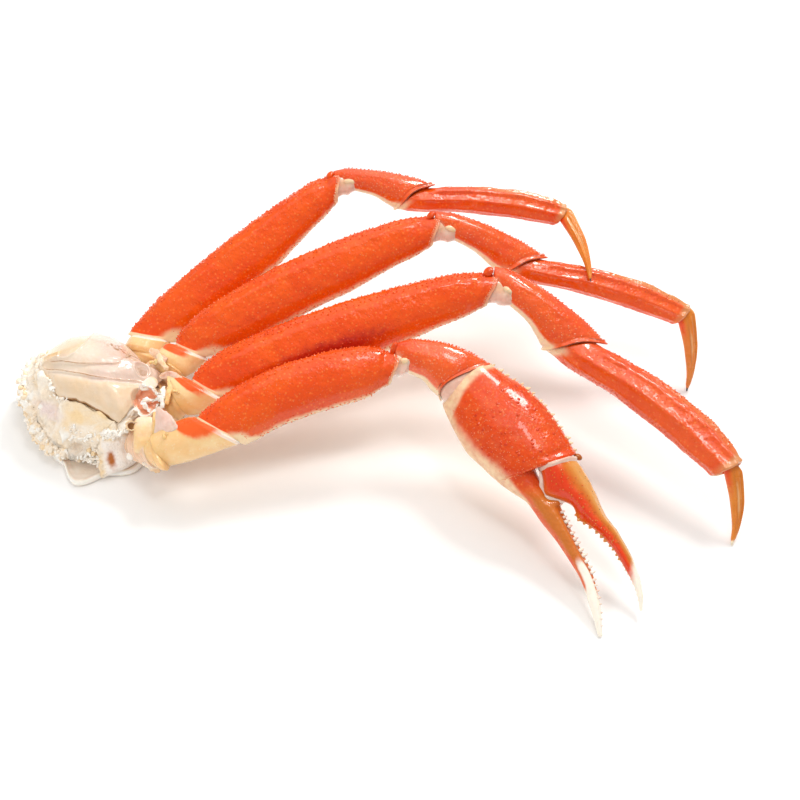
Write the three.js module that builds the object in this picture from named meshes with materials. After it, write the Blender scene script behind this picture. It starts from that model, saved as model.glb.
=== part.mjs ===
// Snow crab cluster: half of a cooked crab's body with three walking legs and the claw leg.
// Millimetres. +Z up, +X from the body to the leg tips, +Y towards the rear leg. The origin is on the
// table, under the middle of the whole.
import * as THREE from 'three';

// ---------------------------------------------------------------- driving dimensions
const fitGap = 0.3;              // clearance between touching pieces
const lean = 45;                 // degrees that the broad faces of the legs lean back from upright
const limbSides = 14;            // facets around a limb
const limbRings = 9;             // least rings along a limb

// Angles of the joint planes, in degrees from square to the limb that comes in, positive with the upper
// edge further out.
const tilt = {
  body: 0, coxa: -12, hip: -42, knee: 36, wrist: 48, ankle: 26, clawWrist: 38, hinge: 11, tip: 0,
};
const skinThickness = 2.6;       // of the skin in a knee and in the claw's wrist

// Every limb is a chain of bones that starts at its hip. A bone is [length, heading, pitch]: heading
// turns from +X towards +Y, and pitch rises from the table, in degrees. The ischium and the coxa lead
// from the hip back to the shoulder.
const legs = [
  {
    name: 'rear',
    hip: [-89.1, 38.5, 20.5],
    bones: {
      merus: [96.5, 31.9, 24.1],
      carpus: [29.7, -9.4, -4],
      propodus: [61, -2.8, -5.5],
      dactyl: [32.9, -71.4, -13.2],
    },
    ischium: [8, 62, 20],
    coxa: [6.5, 25, 35],
    half: { merus: 10.4, carpus: 6.2, propodus: 5.8, dactyl: 2.7 },
    merusBow: 1.2,
    merusBlunt: 0.5,
  },
  {
    name: 'middle',
    hip: [-72.5, 24.5, 28.2],
    bones: {
      merus: [108.4, 21.1, 16],
      carpus: [36, -10.6, -22.8],
      propodus: [69, -10.7, -12.5],
      dactyl: [33, -77.5, -61.5],
    },
    ischium: [9, 38, 21],
    coxa: [8.5, -8, 58],
    half: { merus: 10.7, carpus: 7, propodus: 6, dactyl: 3 },
    merusBow: 4.2,
    merusBlunt: 0,
  },
  {
    name: 'front',
    hip: [-64.5, 4.8, 28],
    bones: {
      merus: [117.7, 16.5, 10.8],
      carpus: [37.5, -29.6, -22],
      propodus: [78, -41.1, -9.1],
      dactyl: [30, -84.7, -51],
    },
    ischium: [11, 10, 16],
    coxa: [10, -6, 48],
    half: { merus: 11.8, carpus: 8.4, propodus: 8.2, dactyl: 3 },
    merusBow: 3.2,
    merusBlunt: 0,
  },
];

const clawLeg = {
  hip: [-58.5, -15.9, 29],
  bones: {
    merus: [71.1, 17.4, 10.5],
    carpus: [26.8, -12.2, -8.6],
    palm: [108.5, -61.3, -20.1],
  },
  ischium: [24.2, 6.5, 22],
  coxa: [12, -50, 24],
  half: { merus: 11, carpus: 9.4 },
  merusBow: 4,
  merusBlunt: 0,
  movableFinger: { base: [68.0, -33.8, 30.5], bone: [62.3, -56.3, -25.1] },
};

// The short pieces next to the body take their half widths from the merus.
const coxaShare = 0.6;
const ischiumShare = 0.88;
const kneeSkinShare = 0.6;
const wristSkinHalf = 7;

// Profiles along a bone. A row is [place, upper edge, lower edge, half thickness]. The place runs from 0
// to 1 along the bone, and the rest are shares of its half width, or millimetres in the claw's two.
const profiles = {
  coxa: [[0, 0.9, -0.9, 0.8], [0.5, 1, -1, 0.9], [1, 0.85, -0.85, 0.8]],
  ischium: [[0, 0.72, -0.72, 0.7], [0.35, 0.88, -0.8, 0.78], [1, 0.86, -0.8, 0.76]],
  merus: [
    [0, 0.42, -0.45, 0.4], [0.04, 0.62, -0.6, 0.46], [0.1, 0.8, -0.76, 0.54], [0.2, 0.95, -0.93, 0.6],
    [0.42, 0.98, -1.02, 0.62], [0.6, 0.93, -1.02, 0.62], [0.74, 0.86, -0.87, 0.58],
    [0.86, 0.78, -0.7, 0.54], [0.95, 0.6, -0.6, 0.5], [1, 0.4, -0.42, 0.44],
  ],
  clawMerus: [
    [0, 0.66, -0.8, 0.5], [0.1, 0.78, -0.87, 0.56], [0.28, 0.94, -0.9, 0.62], [0.44, 1, -0.97, 0.66],
    [0.62, 0.96, -0.98, 0.66], [0.78, 0.88, -0.93, 0.64], [0.9, 0.7, -0.82, 0.58], [1, 0.4, -0.5, 0.5],
  ],
  skin: [[0, 0.8, -0.8, 0.4], [0.5, 0.86, -0.86, 0.44], [1, 0.8, -0.8, 0.4]],
  carpus: [
    [0, 0.95, 0.05, 0.4], [0.15, 1.28, -0.1, 0.6], [0.45, 1.42, -0.22, 0.72], [0.7, 1.36, -0.5, 0.78],
    [1, 1.1, -0.85, 0.76],
  ],
  propodus: [
    [0, 0.82, -0.86, 0.7], [0.12, 1, -0.9, 0.74], [0.4, 1.26, -0.62, 0.72], [0.62, 1.25, -0.62, 0.66],
    [0.85, 0.95, -0.72, 0.6], [1, 0.62, -0.8, 0.56],
  ],
  dactyl: [
    [0, 1.05, -0.75, 0.7], [0.12, 1.6, -0.55, 0.75], [0.45, 1.75, -0.05, 0.62], [0.75, 1.2, 0.1, 0.45],
    [1, 0.25, -0.2, 0.2],
  ],
  // The palm's rows also have a slant, which pushes the upper edge on along the bone. The movable finger
  // sits on the step at 0.366; past it the palm runs on as the fixed finger.
  palm: [
    [0, 13.5, -10.4, 7.5, 0], [0.05, 16, -10.8, 8.6, 0.015], [0.1, 19.2, -11.1, 9.4, 0.03],
    [0.2, 23.4, -10.9, 10.2, 0.1], [0.3, 25, -8, 10, 0.22], [0.348, 25.2, -6.5, 9.4, 0.27],
    [0.362, 25, -5.9, 8.8, 0.285], [0.37, 8.8, -5.6, 7.4, 0.285], [0.42, 8.6, -2.9, 6.2, 0.25],
    [0.48, 8.4, 0.6, 5.2, 0.15], [0.56, 10.4, 1.6, 4.3, 0.05], [0.65, 9.8, 3.2, 3.8, 0],
    [0.78, 9.3, 4, 3.2, 0], [0.9, 6.4, 2.3, 2.2, 0], [1, 1.6, -0.2, 0.8, 0],
  ],
  movableFinger: [
    [0, 7.6, -5.4, 5.4], [0.07, 8.2, -6.4, 5.6], [0.146, 8.2, -6.6, 5.2], [0.237, 7.8, -3.6, 4.6],
    [0.4, 6.7, -0.8, 3.9], [0.53, 7.5, 1.7, 3.4], [0.65, 7.3, 2.5, 3], [0.8, 6.1, 2.4, 2.3],
    [0.93, 3.3, 1, 1.5], [1, 0.5, -0.8, 0.7],
  ],
};

// The shoulder is worked out round an upright line through its middle. Bearings turn from +X towards +Y.
const shoulder = {
  middle: [-108, 12],
  bearings: 40,
  roofRings: [0.3, 0.55, 0.78, 0.92, 1],   // as shares of the roof's radius
  roofThickness: 2,
  top: 38.5,
  flatness: 2.3,                           // 2 is a round dome, more is a flatter one
};
// The roof's rim: [bearing, radius, height]. The tables go once round, so they may start below 0.
const roofRim = [
  [-57, 28.2, 26], [-35, 24.4, 27.5], [-10, 23.8, 28], [5, 25, 27.5], [22, 17.5, 27], [48, 19, 25],
  [90, 24, 24], [129, 27, 24], [164, 24, 26], [190, 22.4, 24], [223, 19.1, 22], [267, 22, 18],
  [291, 27.4, 21], [303, 28.2, 26],
];
// The lower wall of meat, torn where the half body was broken off: [bearing, radius].
const meatOutline = [
  [-45, 24.5], [-19, 24.5], [8, 22.2], [30, 20], [58, 16], [95, 21], [138, 29.5], [158, 35.5],
  [188, 29.3], [216, 27.2], [243, 26.8], [270, 27], [293, 26], [315, 24.5],
];
const meat = {
  walls: [[0.9, 0], [1, 0.3], [0.98, 0.65]],   // [share of the outline, share of the wall's height]
  tops: [1, 0.7, 0.35],                        // rings under the roof, as shares of the top edge's radius
  lumps: 7,
  lumpDepth: 0.03,
  roofClearance: 1.8,
};
const sternum = {
  thickness: 3,
  bevel: 0.8,
  outline: [
    [-115.5, -21], [-104, -16.5], [-93, -14.5], [-88, -4], [-90, 12], [-96, 26], [-112, 33], [-130, 30],
    [-134, 10], [-122, -11],
  ],
};

// ---------------------------------------------------------------- finishes
const finish = (color, roughness) => new THREE.MeshStandardMaterial({ color, roughness, metalness: 0 });
const orangeShell = finish(0xe2531f, 0.3);
const amberShell = finish(0xc9702c, 0.35);
const creamShell = finish(0xe6c58c, 0.4);
const paleShell = finish(0xeedfc6, 0.35);
const whiteMeat = finish(0xefe4d4, 0.6);
const jointSkin = finish(0xe8d5cc, 0.45);

const cluster = new THREE.Group();

function addPiece(name, material, geometry) {
  const mesh = new THREE.Mesh(geometry, material);
  mesh.name = name;
  cluster.add(mesh);
}

// ---------------------------------------------------------------- shapes
const radians = THREE.MathUtils.degToRad;
const { lerp } = THREE.MathUtils;

function direction([, heading, pitch]) {
  const flat = Math.cos(radians(pitch));
  return new THREE.Vector3(
    flat * Math.cos(radians(heading)),
    flat * Math.sin(radians(heading)),
    Math.sin(radians(pitch)),
  );
}

const endOf = (start, bone) => start.clone().addScaledVector(direction(bone), bone[0]);
const startOf = (end, bone) => end.clone().addScaledVector(direction(bone), -bone[0]);

// Value of one column of a table at a place, on the straight line between the two rows around it.
function along(rows, place, column) {
  const next = Math.max(1, rows.findIndex((row) => row[0] >= place));
  const [before, after] = [rows[next - 1], rows[next]];
  return lerp(before[column], after[column], (place - before[0]) / (after[0] - before[0]));
}

// The places of a profile's rows, with the widest stretches halved until there are enough rings.
function ringPlaces(profile) {
  const places = profile.map((row) => row[0]);
  while (places.length < limbRings) {
    const stretches = places.slice(1).map((place, index) => place - places[index]);
    const widest = stretches.indexOf(Math.max(...stretches));
    places.splice(widest + 1, 0, (places[widest] + places[widest + 1]) / 2);
  }
  return places;
}

// A closed solid from rings of points, with a fan of triangles over the first ring and the last.
function solidFromRings(rings) {
  const count = rings[0].length;
  const points = rings.flat();
  const triangles = [];
  for (let ring = 0; ring < rings.length - 1; ring += 1) {
    for (let side = 0; side < count; side += 1) {
      const here = ring * count + side;
      const beside = ring * count + (side + 1) % count;
      triangles.push(here, beside, beside + count, here, beside + count, here + count);
    }
  }
  const middleOf = (ring) => {
    const sum = new THREE.Vector3();
    ring.forEach((point) => sum.add(point));
    return sum.divideScalar(count);
  };
  const first = points.push(middleOf(rings[0])) - 1;
  const last = points.push(middleOf(rings.at(-1))) - 1;
  const lastRing = (rings.length - 1) * count;
  for (let side = 0; side < count; side += 1) {
    const beside = (side + 1) % count;
    triangles.push(first, beside, side, last, lastRing + side, lastRing + beside);
  }
  const positions = points.flatMap((point) => point.toArray());
  const geometry = new THREE.BufferGeometry();
  geometry.setAttribute('position', new THREE.Float32BufferAttribute(positions, 3));
  geometry.setIndex(triangles);
  return geometry;
}

// The directions of a bone: along it, out of its broad front face, and towards its upper edge.
function boneAxes(bone) {
  const forward = direction(bone);
  const face = new THREE.Vector3(0, -Math.cos(radians(lean)), Math.sin(radians(lean)));
  face.addScaledVector(forward, -face.dot(forward)).normalize();
  const upper = new THREE.Vector3().crossVectors(face, forward);
  return { forward, face, upper };
}

// The plane of a joint: through a point, tilted in the plane of the bone that comes in.
function jointPlane(point, bone, degrees) {
  const { forward, upper } = boneAxes(bone);
  const normal = forward.clone().multiplyScalar(Math.cos(radians(degrees)));
  normal.addScaledVector(upper, -Math.sin(radians(degrees)));
  return { point, normal };
}

// One piece of a limb: oval rings along a bone, each point at its share of the way between the two
// joint planes. bow lifts the middle, and blunt fills the first fifth out towards the full width.
function limbPiece({ start, bone, profile, half, bow = 0, blunt = 0, from, to }) {
  const { forward, face, upper } = boneAxes(bone);
  const reach = (offset, { plane, gap }) => {
    const away = plane.point.clone().sub(start).sub(offset);
    return (away.dot(plane.normal) + gap) / forward.dot(plane.normal);
  };
  const rings = ringPlaces(profile).map((place) => {
    const fill = blunt * Math.max(0, 1 - 5 * place);
    const top = lerp(along(profile, place, 1), 1, fill) * half;
    const bottom = lerp(along(profile, place, 2), -1, fill) * half;
    const rise = (top + bottom) / 2 + bow * Math.sin(Math.PI * place);
    const depth = along(profile, place, 3) * half;
    const slant = profile[0].length > 4 ? along(profile, place, 4) : 0;
    return Array.from({ length: limbSides }, (_, side) => {
      const angle = -2 * Math.PI * side / limbSides;
      const up = rise + (top - bottom) / 2 * Math.sin(angle);
      const offset = upper.clone().multiplyScalar(up);
      offset.addScaledVector(face, depth * Math.cos(angle));
      const distance = lerp(reach(offset, from), reach(offset, to), place) + slant * up;
      return start.clone().add(offset).addScaledVector(forward, distance);
    });
  });
  return solidFromRings(rings);
}

// The two sides of a joint: a piece stops short of the plane, or starts past it, by half the fit gap,
// and by half the skin as well where the joint has one.
const skinSide = skinThickness / 2 + fitGap;
const endAt = (plane, gap = fitGap / 2) => ({ plane, gap: -gap });
const startAt = (plane, gap = fitGap / 2) => ({ plane, gap });

function addSkin(name, point, bone, plane, half) {
  const sides = { from: endAt(plane, skinThickness / 2), to: startAt(plane, skinThickness / 2) };
  addPiece(name, jointSkin, limbPiece({ start: point, bone, profile: profiles.skin, half, ...sides }));
}

// ---------------------------------------------------------------- the legs
// What every leg has: the two short joints next to the shoulder, the merus and the skin in its knee.
function addUpperLimb(name, leg, merusProfile) {
  const { ischium, coxa, bones: { merus, carpus } } = leg;
  const hip = new THREE.Vector3(...leg.hip);
  const ischiumStart = startOf(hip, ischium);
  const coxaStart = startOf(ischiumStart, coxa);
  const knee = endOf(hip, merus);
  const coxaPlane = jointPlane(ischiumStart, ischium, tilt.coxa);
  const hipPlane = jointPlane(hip, merus, tilt.hip);
  const kneePlane = jointPlane(knee, merus, tilt.knee);
  addPiece(`${name}_coxa`, creamShell, limbPiece({
    start: coxaStart,
    bone: coxa,
    profile: profiles.coxa,
    half: coxaShare * leg.half.merus,
    from: startAt(jointPlane(coxaStart, coxa, tilt.body)),
    to: endAt(coxaPlane),
  }));
  addPiece(`${name}_ischium`, creamShell, limbPiece({
    start: ischiumStart,
    bone: ischium,
    profile: profiles.ischium,
    half: ischiumShare * leg.half.merus,
    from: startAt(coxaPlane),
    to: endAt(hipPlane),
  }));
  addPiece(`${name}_merus`, orangeShell, limbPiece({
    start: hip,
    bone: merus,
    profile: merusProfile,
    half: leg.half.merus,
    bow: leg.merusBow,
    blunt: leg.merusBlunt,
    from: startAt(hipPlane),
    to: endAt(kneePlane, skinSide),
  }));
  addSkin(`${name}_knee_skin`, knee, carpus, kneePlane, kneeSkinShare * leg.half.merus);
  return { knee, kneePlane };
}

for (const leg of legs) {
  const name = `${leg.name}_leg`;
  const { carpus, propodus, dactyl } = leg.bones;
  const { knee, kneePlane } = addUpperLimb(name, leg, profiles.merus);
  const wrist = endOf(knee, carpus);
  const ankle = endOf(wrist, propodus);
  const tip = endOf(ankle, dactyl);
  const wristPlane = jointPlane(wrist, carpus, tilt.wrist);
  const anklePlane = jointPlane(ankle, propodus, tilt.ankle);
  addPiece(`${name}_carpus`, orangeShell, limbPiece({
    start: knee,
    bone: carpus,
    profile: profiles.carpus,
    half: leg.half.carpus,
    from: startAt(kneePlane, skinSide),
    to: endAt(wristPlane),
  }));
  addPiece(`${name}_propodus`, orangeShell, limbPiece({
    start: wrist,
    bone: propodus,
    profile: profiles.propodus,
    half: leg.half.propodus,
    from: startAt(wristPlane),
    to: endAt(anklePlane),
  }));
  addPiece(`${name}_dactyl`, amberShell, limbPiece({
    start: ankle,
    bone: dactyl,
    profile: profiles.dactyl,
    half: leg.half.dactyl,
    from: startAt(anklePlane),
    to: endAt(jointPlane(tip, dactyl, tilt.tip)),
  }));
}

// ---------------------------------------------------------------- the claw leg
function addClawLeg() {
  const { carpus, palm } = clawLeg.bones;
  const { knee, kneePlane } = addUpperLimb('claw', clawLeg, profiles.clawMerus);
  const wrist = endOf(knee, carpus);
  const wristPlane = jointPlane(wrist, carpus, tilt.clawWrist);
  addPiece('claw_carpus', orangeShell, limbPiece({
    start: knee,
    bone: carpus,
    profile: profiles.carpus,
    half: clawLeg.half.carpus,
    from: startAt(kneePlane, skinSide),
    to: endAt(wristPlane, skinSide),
  }));
  addSkin('claw_wrist_skin', wrist, carpus, wristPlane, wristSkinHalf);
  addPiece('claw_palm', orangeShell, limbPiece({
    start: wrist,
    bone: palm,
    profile: profiles.palm,
    half: 1,
    from: startAt(wristPlane, skinSide),
    to: endAt(jointPlane(endOf(wrist, palm), palm, tilt.tip)),
  }));
  const fingerBase = new THREE.Vector3(...clawLeg.movableFinger.base);
  const finger = clawLeg.movableFinger.bone;
  addPiece('claw_movable_finger', amberShell, limbPiece({
    start: fingerBase,
    bone: finger,
    profile: profiles.movableFinger,
    half: 1,
    from: startAt(jointPlane(fingerBase, palm, tilt.hinge)),
    to: endAt(jointPlane(endOf(fingerBase, finger), finger, tilt.tip)),
  }));
}
addClawLeg();

// ---------------------------------------------------------------- the shoulder
const [middleX, middleY] = shoulder.middle;

// A ring of points round the shoulder's middle, from a radius and a height for each bearing.
function shoulderRing(radiusAt, heightAt) {
  return Array.from({ length: shoulder.bearings }, (_, step) => {
    const angle = 2 * Math.PI * step / shoulder.bearings;
    const radius = radiusAt(angle);
    return new THREE.Vector3(
      middleX + radius * Math.cos(angle),
      middleY + radius * Math.sin(angle),
      heightAt(angle, radius),
    );
  });
}

// A column of a table that goes once round, at an angle from 0 to a full turn.
function atBearing(rows, angle, column) {
  const degrees = THREE.MathUtils.radToDeg(angle);
  const bearing = degrees > rows.at(-1)[0] ? degrees - 360 : degrees;
  return along(rows, bearing, column);
}

const roofRadius = (angle) => atBearing(roofRim, angle, 1);

// Height of the roof: a flattened dome from the top down to the rim.
function roofHeight(angle, radius) {
  const rimHeight = atBearing(roofRim, angle, 2);
  return lerp(shoulder.top, rimHeight, (radius / roofRadius(angle)) ** shoulder.flatness);
}

function roofRing(share, drop) {
  return shoulderRing(
    (angle) => share * roofRadius(angle),
    (angle, radius) => roofHeight(angle, radius) - drop,
  );
}

addPiece('shoulder_roof', paleShell, solidFromRings([
  ...shoulder.roofRings.map((share) => roofRing(share, shoulder.roofThickness)),
  ...shoulder.roofRings.toReversed().map((share) => roofRing(share, 0)),
]));

// The meat stands on the sternum, bulges out under the roof's rim and fills the dome.
const meatFloor = sternum.thickness + fitGap;
const meatRadius = (angle) => (
  atBearing(meatOutline, angle, 1) * (1 + meat.lumpDepth * Math.sin(meat.lumps * angle))
);
const meatTopRadius = (angle) => Math.min(0.92 * meatRadius(angle), 0.94 * roofRadius(angle));
const meatTopHeight = (angle, radius) => (
  roofHeight(angle, radius) - shoulder.roofThickness - meat.roofClearance
);

function meatWallRing(share, rise) {
  return shoulderRing(
    (angle) => share * meatRadius(angle),
    (angle) => lerp(meatFloor, meatTopHeight(angle, meatTopRadius(angle)), rise),
  );
}

addPiece('shoulder_meat', whiteMeat, solidFromRings([
  ...meat.walls.map(([share, rise]) => meatWallRing(share, rise)),
  ...meat.tops.map((share) => shoulderRing((angle) => share * meatTopRadius(angle), meatTopHeight)),
]));

function sternumPlate() {
  const corners = sternum.outline.map(([x, y]) => new THREE.Vector3(x, y, 0));
  const rounded = new THREE.CatmullRomCurve3(corners, true).getPoints(3 * corners.length).slice(0, -1);
  const outline = new THREE.Shape(rounded.map((point) => new THREE.Vector2(point.x, point.y)));
  const plate = new THREE.ExtrudeGeometry(outline, {
    depth: sternum.thickness - 2 * sternum.bevel,
    bevelThickness: sternum.bevel,
    bevelSize: sternum.bevel,
    bevelOffset: -sternum.bevel,
    bevelSegments: 2,
  });
  return plate.translate(0, 0, sternum.bevel);
}
addPiece('sternum', paleShell, sternumPlate());

export default cluster;
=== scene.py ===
import bpy
import numpy as np
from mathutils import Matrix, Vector


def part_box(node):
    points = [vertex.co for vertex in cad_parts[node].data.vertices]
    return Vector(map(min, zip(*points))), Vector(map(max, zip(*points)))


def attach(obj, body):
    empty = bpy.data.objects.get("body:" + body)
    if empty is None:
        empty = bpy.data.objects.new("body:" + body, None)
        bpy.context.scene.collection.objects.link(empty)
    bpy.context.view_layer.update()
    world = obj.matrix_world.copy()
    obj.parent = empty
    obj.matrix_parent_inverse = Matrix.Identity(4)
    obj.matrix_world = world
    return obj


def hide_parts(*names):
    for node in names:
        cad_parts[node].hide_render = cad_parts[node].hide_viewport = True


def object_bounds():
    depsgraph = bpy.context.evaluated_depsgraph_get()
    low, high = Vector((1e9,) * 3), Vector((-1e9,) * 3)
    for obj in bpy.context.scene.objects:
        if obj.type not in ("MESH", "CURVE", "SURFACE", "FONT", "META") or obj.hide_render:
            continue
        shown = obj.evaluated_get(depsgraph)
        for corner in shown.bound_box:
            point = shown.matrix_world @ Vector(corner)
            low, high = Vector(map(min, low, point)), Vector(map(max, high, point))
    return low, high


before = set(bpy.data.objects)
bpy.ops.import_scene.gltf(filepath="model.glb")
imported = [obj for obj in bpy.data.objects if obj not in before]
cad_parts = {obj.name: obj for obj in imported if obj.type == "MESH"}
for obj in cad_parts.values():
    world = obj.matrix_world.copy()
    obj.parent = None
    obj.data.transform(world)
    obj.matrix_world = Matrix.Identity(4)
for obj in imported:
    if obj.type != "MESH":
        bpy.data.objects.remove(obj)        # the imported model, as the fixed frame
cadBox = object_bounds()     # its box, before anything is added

# A snow crab cluster: half of a cooked crab's body with three walking legs and the claw leg.
# Lengths are millimetres and angles are degrees, until a mesh, a light or a camera is made in metres.
mm = 0.001
floorMiddle = np.array([(cadBox[0][0] + cadBox[1][0]) / 2, (cadBox[0][1] + cadBox[1][1]) / 2, 0]) / mm
dice = np.random.default_rng(7)      # every random draw comes from here, in the same order each time
upFront = (0, -0.64, 0.77)           # forwards and up, which is how straps on top of the crab face


# Vectors divided by their length
def unit(vectors):
    return vectors / np.maximum(np.linalg.norm(vectors, axis=-1, keepdims=True), 1e-9)


# a plus a share of the way from a to b
def mix(a, b, share):
    return a + (b - a) * share


# Values cut off below 0 and above 1
def held(values):
    return np.clip(values, 0, 1)


# Sine and cosine of angles in degrees
def sinOf(angles):
    return np.sin(np.radians(angles))


def cosOf(angles):
    return np.cos(np.radians(angles))


# 0 below low, 1 above high and a smooth rise between them
def rampUp(values, low, high):
    share = held((values - low) / (high - low))
    return share * share * (3 - 2 * share)


# 1 at the middle, falling away like a bell
def bell(values, middle, width):
    return np.exp(-((values - middle) / width) ** 2)


# The same for an angle in degrees, whichever way round is shorter
def bellAround(angles, middle, width):
    return bell((angles - middle + 180) % 360 - 180, 0, width)


# 1 between two values and 0 outside them, with soft ends
def onlyBetween(values, start, end, soft=3.0):
    return rampUp(values, start - soft, start + soft) * rampUp(-values, -end - soft, -end + soft)


# The height of ridges that run along a limb, added up: rows of [angle, width, height]
def ridgesAt(angles, rows):
    return sum(height * bellAround(angles, middle, width) for middle, width, height in rows)


# The height of single swellings, added up: rows of [height, place, its width, angle, its width]
def swellingsAt(places, angles, rows):
    return sum(height * bell(places, place, long) * bellAround(angles, angle, wide)
               for height, place, long, angle, wide in rows)


# A smooth line through the rows of a table, read at any place. The slope at a row is the harmonic mean of
# the slopes on either side, or 0 at a peak, so the line never swings past a row.
def alongTable(rows, places, column):
    rows = np.asarray(rows, float)
    x, y = rows[:, 0], rows[:, column]
    width = np.diff(x)
    rise = np.diff(y) / width
    before, after = 2 * width[1:] + width[:-1], width[1:] + 2 * width[:-1]
    same = rise[1:] * rise[:-1] > 0
    safe = np.where(same, rise[:-1], 1), np.where(same, rise[1:], 1)
    inner = np.where(same, (before + after) / (before / safe[0] + after / safe[1]), 0)
    slope = np.concatenate([rise[:1], inner, rise[-1:]])
    row = np.clip(np.searchsorted(x, places, side="right") - 1, 0, len(x) - 2)
    t = (places - x[row]) / width[row]
    rough = y[row] * (1 + 2 * t) * (1 - t) ** 2 + y[row + 1] * t * t * (3 - 2 * t)
    return rough + width[row] * (slope[row] * t * (1 - t) ** 2 - slope[row + 1] * t * t * (1 - t))


# The same for a table that goes once round in degrees
def roundTable(rows, bearings, column):
    rows = np.asarray(rows, float)
    turned = [rows + np.array([360 * turn] + [0] * (rows.shape[1] - 1)) for turn in (-1, 0, 1)]
    return alongTable(np.concatenate(turned), bearings, column)


# Smooth random values from -1 to 1: numbers at the corners of a lattice, blended along each axis. The
# large whole numbers only scramble a corner's place into its number.
def softNoise(points, size, seed=0):
    spot = np.asarray(points, float) / size
    cell = np.floor(spot).astype(np.int64)
    blend = spot - cell
    blend = blend * blend * (3 - 2 * blend)
    total = np.zeros(spot.shape[:-1])
    for corner in np.ndindex(2, 2, 2):
        key = (cell + corner) @ np.array([73856093, 19349663, 83492791]) + 7919 * seed
        key = ((key ^ (key >> 13)) * 1274126177) & 0x7FFFFFFF
        key = ((key ^ (key >> 15)) * 1911520717) & 0x7FFFFFFF
        total += key / 0x7FFFFFFF * np.prod(np.where(corner, blend, 1 - blend), axis=-1)
    return 2 * total - 1


# Noise at one size with finer and fainter noise on top
def layeredNoise(points, size, seed=0, layers=3):
    return sum(softNoise(points, size / 2 ** n, seed + n) / 2 ** n for n in range(layers)) / 1.75


# Random shifts in three directions: noise at each size, the second half as strong as the first
def shiftNoise(points, sizes, seed):
    return np.stack([sum(softNoise(points, size, seed + 5 * n + k) / 2 ** n for n, size in enumerate(sizes))
                     for k in range(3)], axis=-1)


# The wide and fine unevenness that every shell has
def surfaceNoise(points, seed, wide=0.22, fine=0.05):
    return wide * layeredNoise(points, 9, seed) + fine * layeredNoise(points, 1.8, seed + 20, 2)


# A mesh part is a dictionary of points, four-sided faces, three-sided faces and marks. Marks are values
# from 0 to 1 at each point that the materials read, by the names of their colours.
markNames = ("cream", "red", "brown", "tan", "white")


# Turns a part's faces round if they point inwards. Its volume, which is a sixth of the sum of each
# triangle's a . (b x c), is negative then.
def facingOut(part):
    corners = np.concatenate([part["quads"][:, [0, 1, 2]], part["quads"][:, [0, 2, 3]], part["tris"]])
    a, b, c = (part["points"][corners[:, k]] for k in range(3))
    if np.einsum("ij,ij->", a, np.cross(b, c)) < 0:
        part["quads"], part["tris"] = part["quads"][:, ::-1], part["tris"][:, ::-1]
    return part


# The faces of a tube: its points are numbered ring by ring, then one point for each end. A four-sided
# face joins each point to the next side and the next ring, and a fan of triangles closes each end.
def tubeFaces(rings, sides):
    ring, side = np.meshgrid(np.arange(rings - 1), np.arange(sides), indexing="ij")
    here, beside = ring * sides + side, ring * sides + (side + 1) % sides
    quads = np.stack([here, beside, beside + sides, here + sides], axis=-1).reshape(-1, 4)
    step, last = np.arange(sides), (rings - 1) * sides
    further = (step + 1) % sides
    first = np.stack([np.full(sides, rings * sides), further, step], axis=-1)
    final = np.stack([np.full(sides, rings * sides + 1), last + step, last + further], axis=-1)
    return quads, np.concatenate([first, final])


# A closed part from a grid of points [ring, side]. The point at each end is the middle of its ring.
def tubePart(grid, marks):
    quads, tris = tubeFaces(*grid.shape[:2])
    spread = {}
    for name in markNames:
        values = np.broadcast_to(marks.get(name, 0), grid.shape[:2]).astype(float)
        spread[name] = np.concatenate([values.ravel(), values[[0, -1]].mean(axis=1)])
    points = np.concatenate([grid.reshape(-1, 3), grid[[0, -1]].mean(axis=1)])
    return facingOut({"points": points, "quads": quads, "tris": tris, "marks": spread})


# Several parts as one. The numbers in a part's faces go up by the number of points before it.
def joinParts(parts):
    starts = np.cumsum([0] + [len(part["points"]) for part in parts[:-1]])
    return {
        "points": np.concatenate([part["points"] for part in parts]),
        "quads": np.concatenate([part["quads"] + start for part, start in zip(parts, starts)]),
        "tris": np.concatenate([part["tris"] + start for part, start in zip(parts, starts)]),
        "marks": {name: np.concatenate([part["marks"][name] for part in parts]) for name in markNames},
    }


# Puts parts into one mesh object in metres, with the marks as attributes, riding on the frame
def makePiece(name, parts, material, stands=()):
    part = joinParts(parts)
    quads, tris = part["quads"], part["tris"]
    mesh = bpy.data.meshes.new(name)
    corners = np.concatenate([quads.ravel(), tris.ravel()]).astype(np.int32)
    starts = np.concatenate([4 * np.arange(len(quads)), 4 * len(quads) + 3 * np.arange(len(tris))])
    mesh.vertices.add(len(part["points"]))
    mesh.vertices.foreach_set("co", (part["points"] * mm).astype(np.float32).ravel())
    mesh.loops.add(len(corners))
    mesh.loops.foreach_set("vertex_index", corners)
    mesh.polygons.add(len(starts))
    mesh.polygons.foreach_set("loop_start", starts.astype(np.int32))
    mesh.polygons.foreach_set("use_smooth", np.ones(len(starts), bool))
    mesh.update(calc_edges=True)
    mesh.validate()
    for mark in markNames:
        attribute = mesh.attributes.new(mark, "FLOAT", "POINT")
        attribute.data.foreach_set("value", part["marks"][mark].astype(np.float32))
    mesh.materials.append(material)
    piece = bpy.data.objects.new(name, mesh)
    bpy.context.scene.collection.objects.link(piece)
    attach(piece, "root")
    if stands:
        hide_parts(*stands)


# A colour code as the linear red, green and blue that a material takes
def colour(code):
    tone = np.array([int(code[k:k + 2], 16) for k in (0, 2, 4)]) / 255
    linear = np.where(tone <= 0.04045, tone / 12.92, ((tone + 0.055) / 1.055) ** 2.4)
    return (*linear.tolist(), 1)


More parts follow.
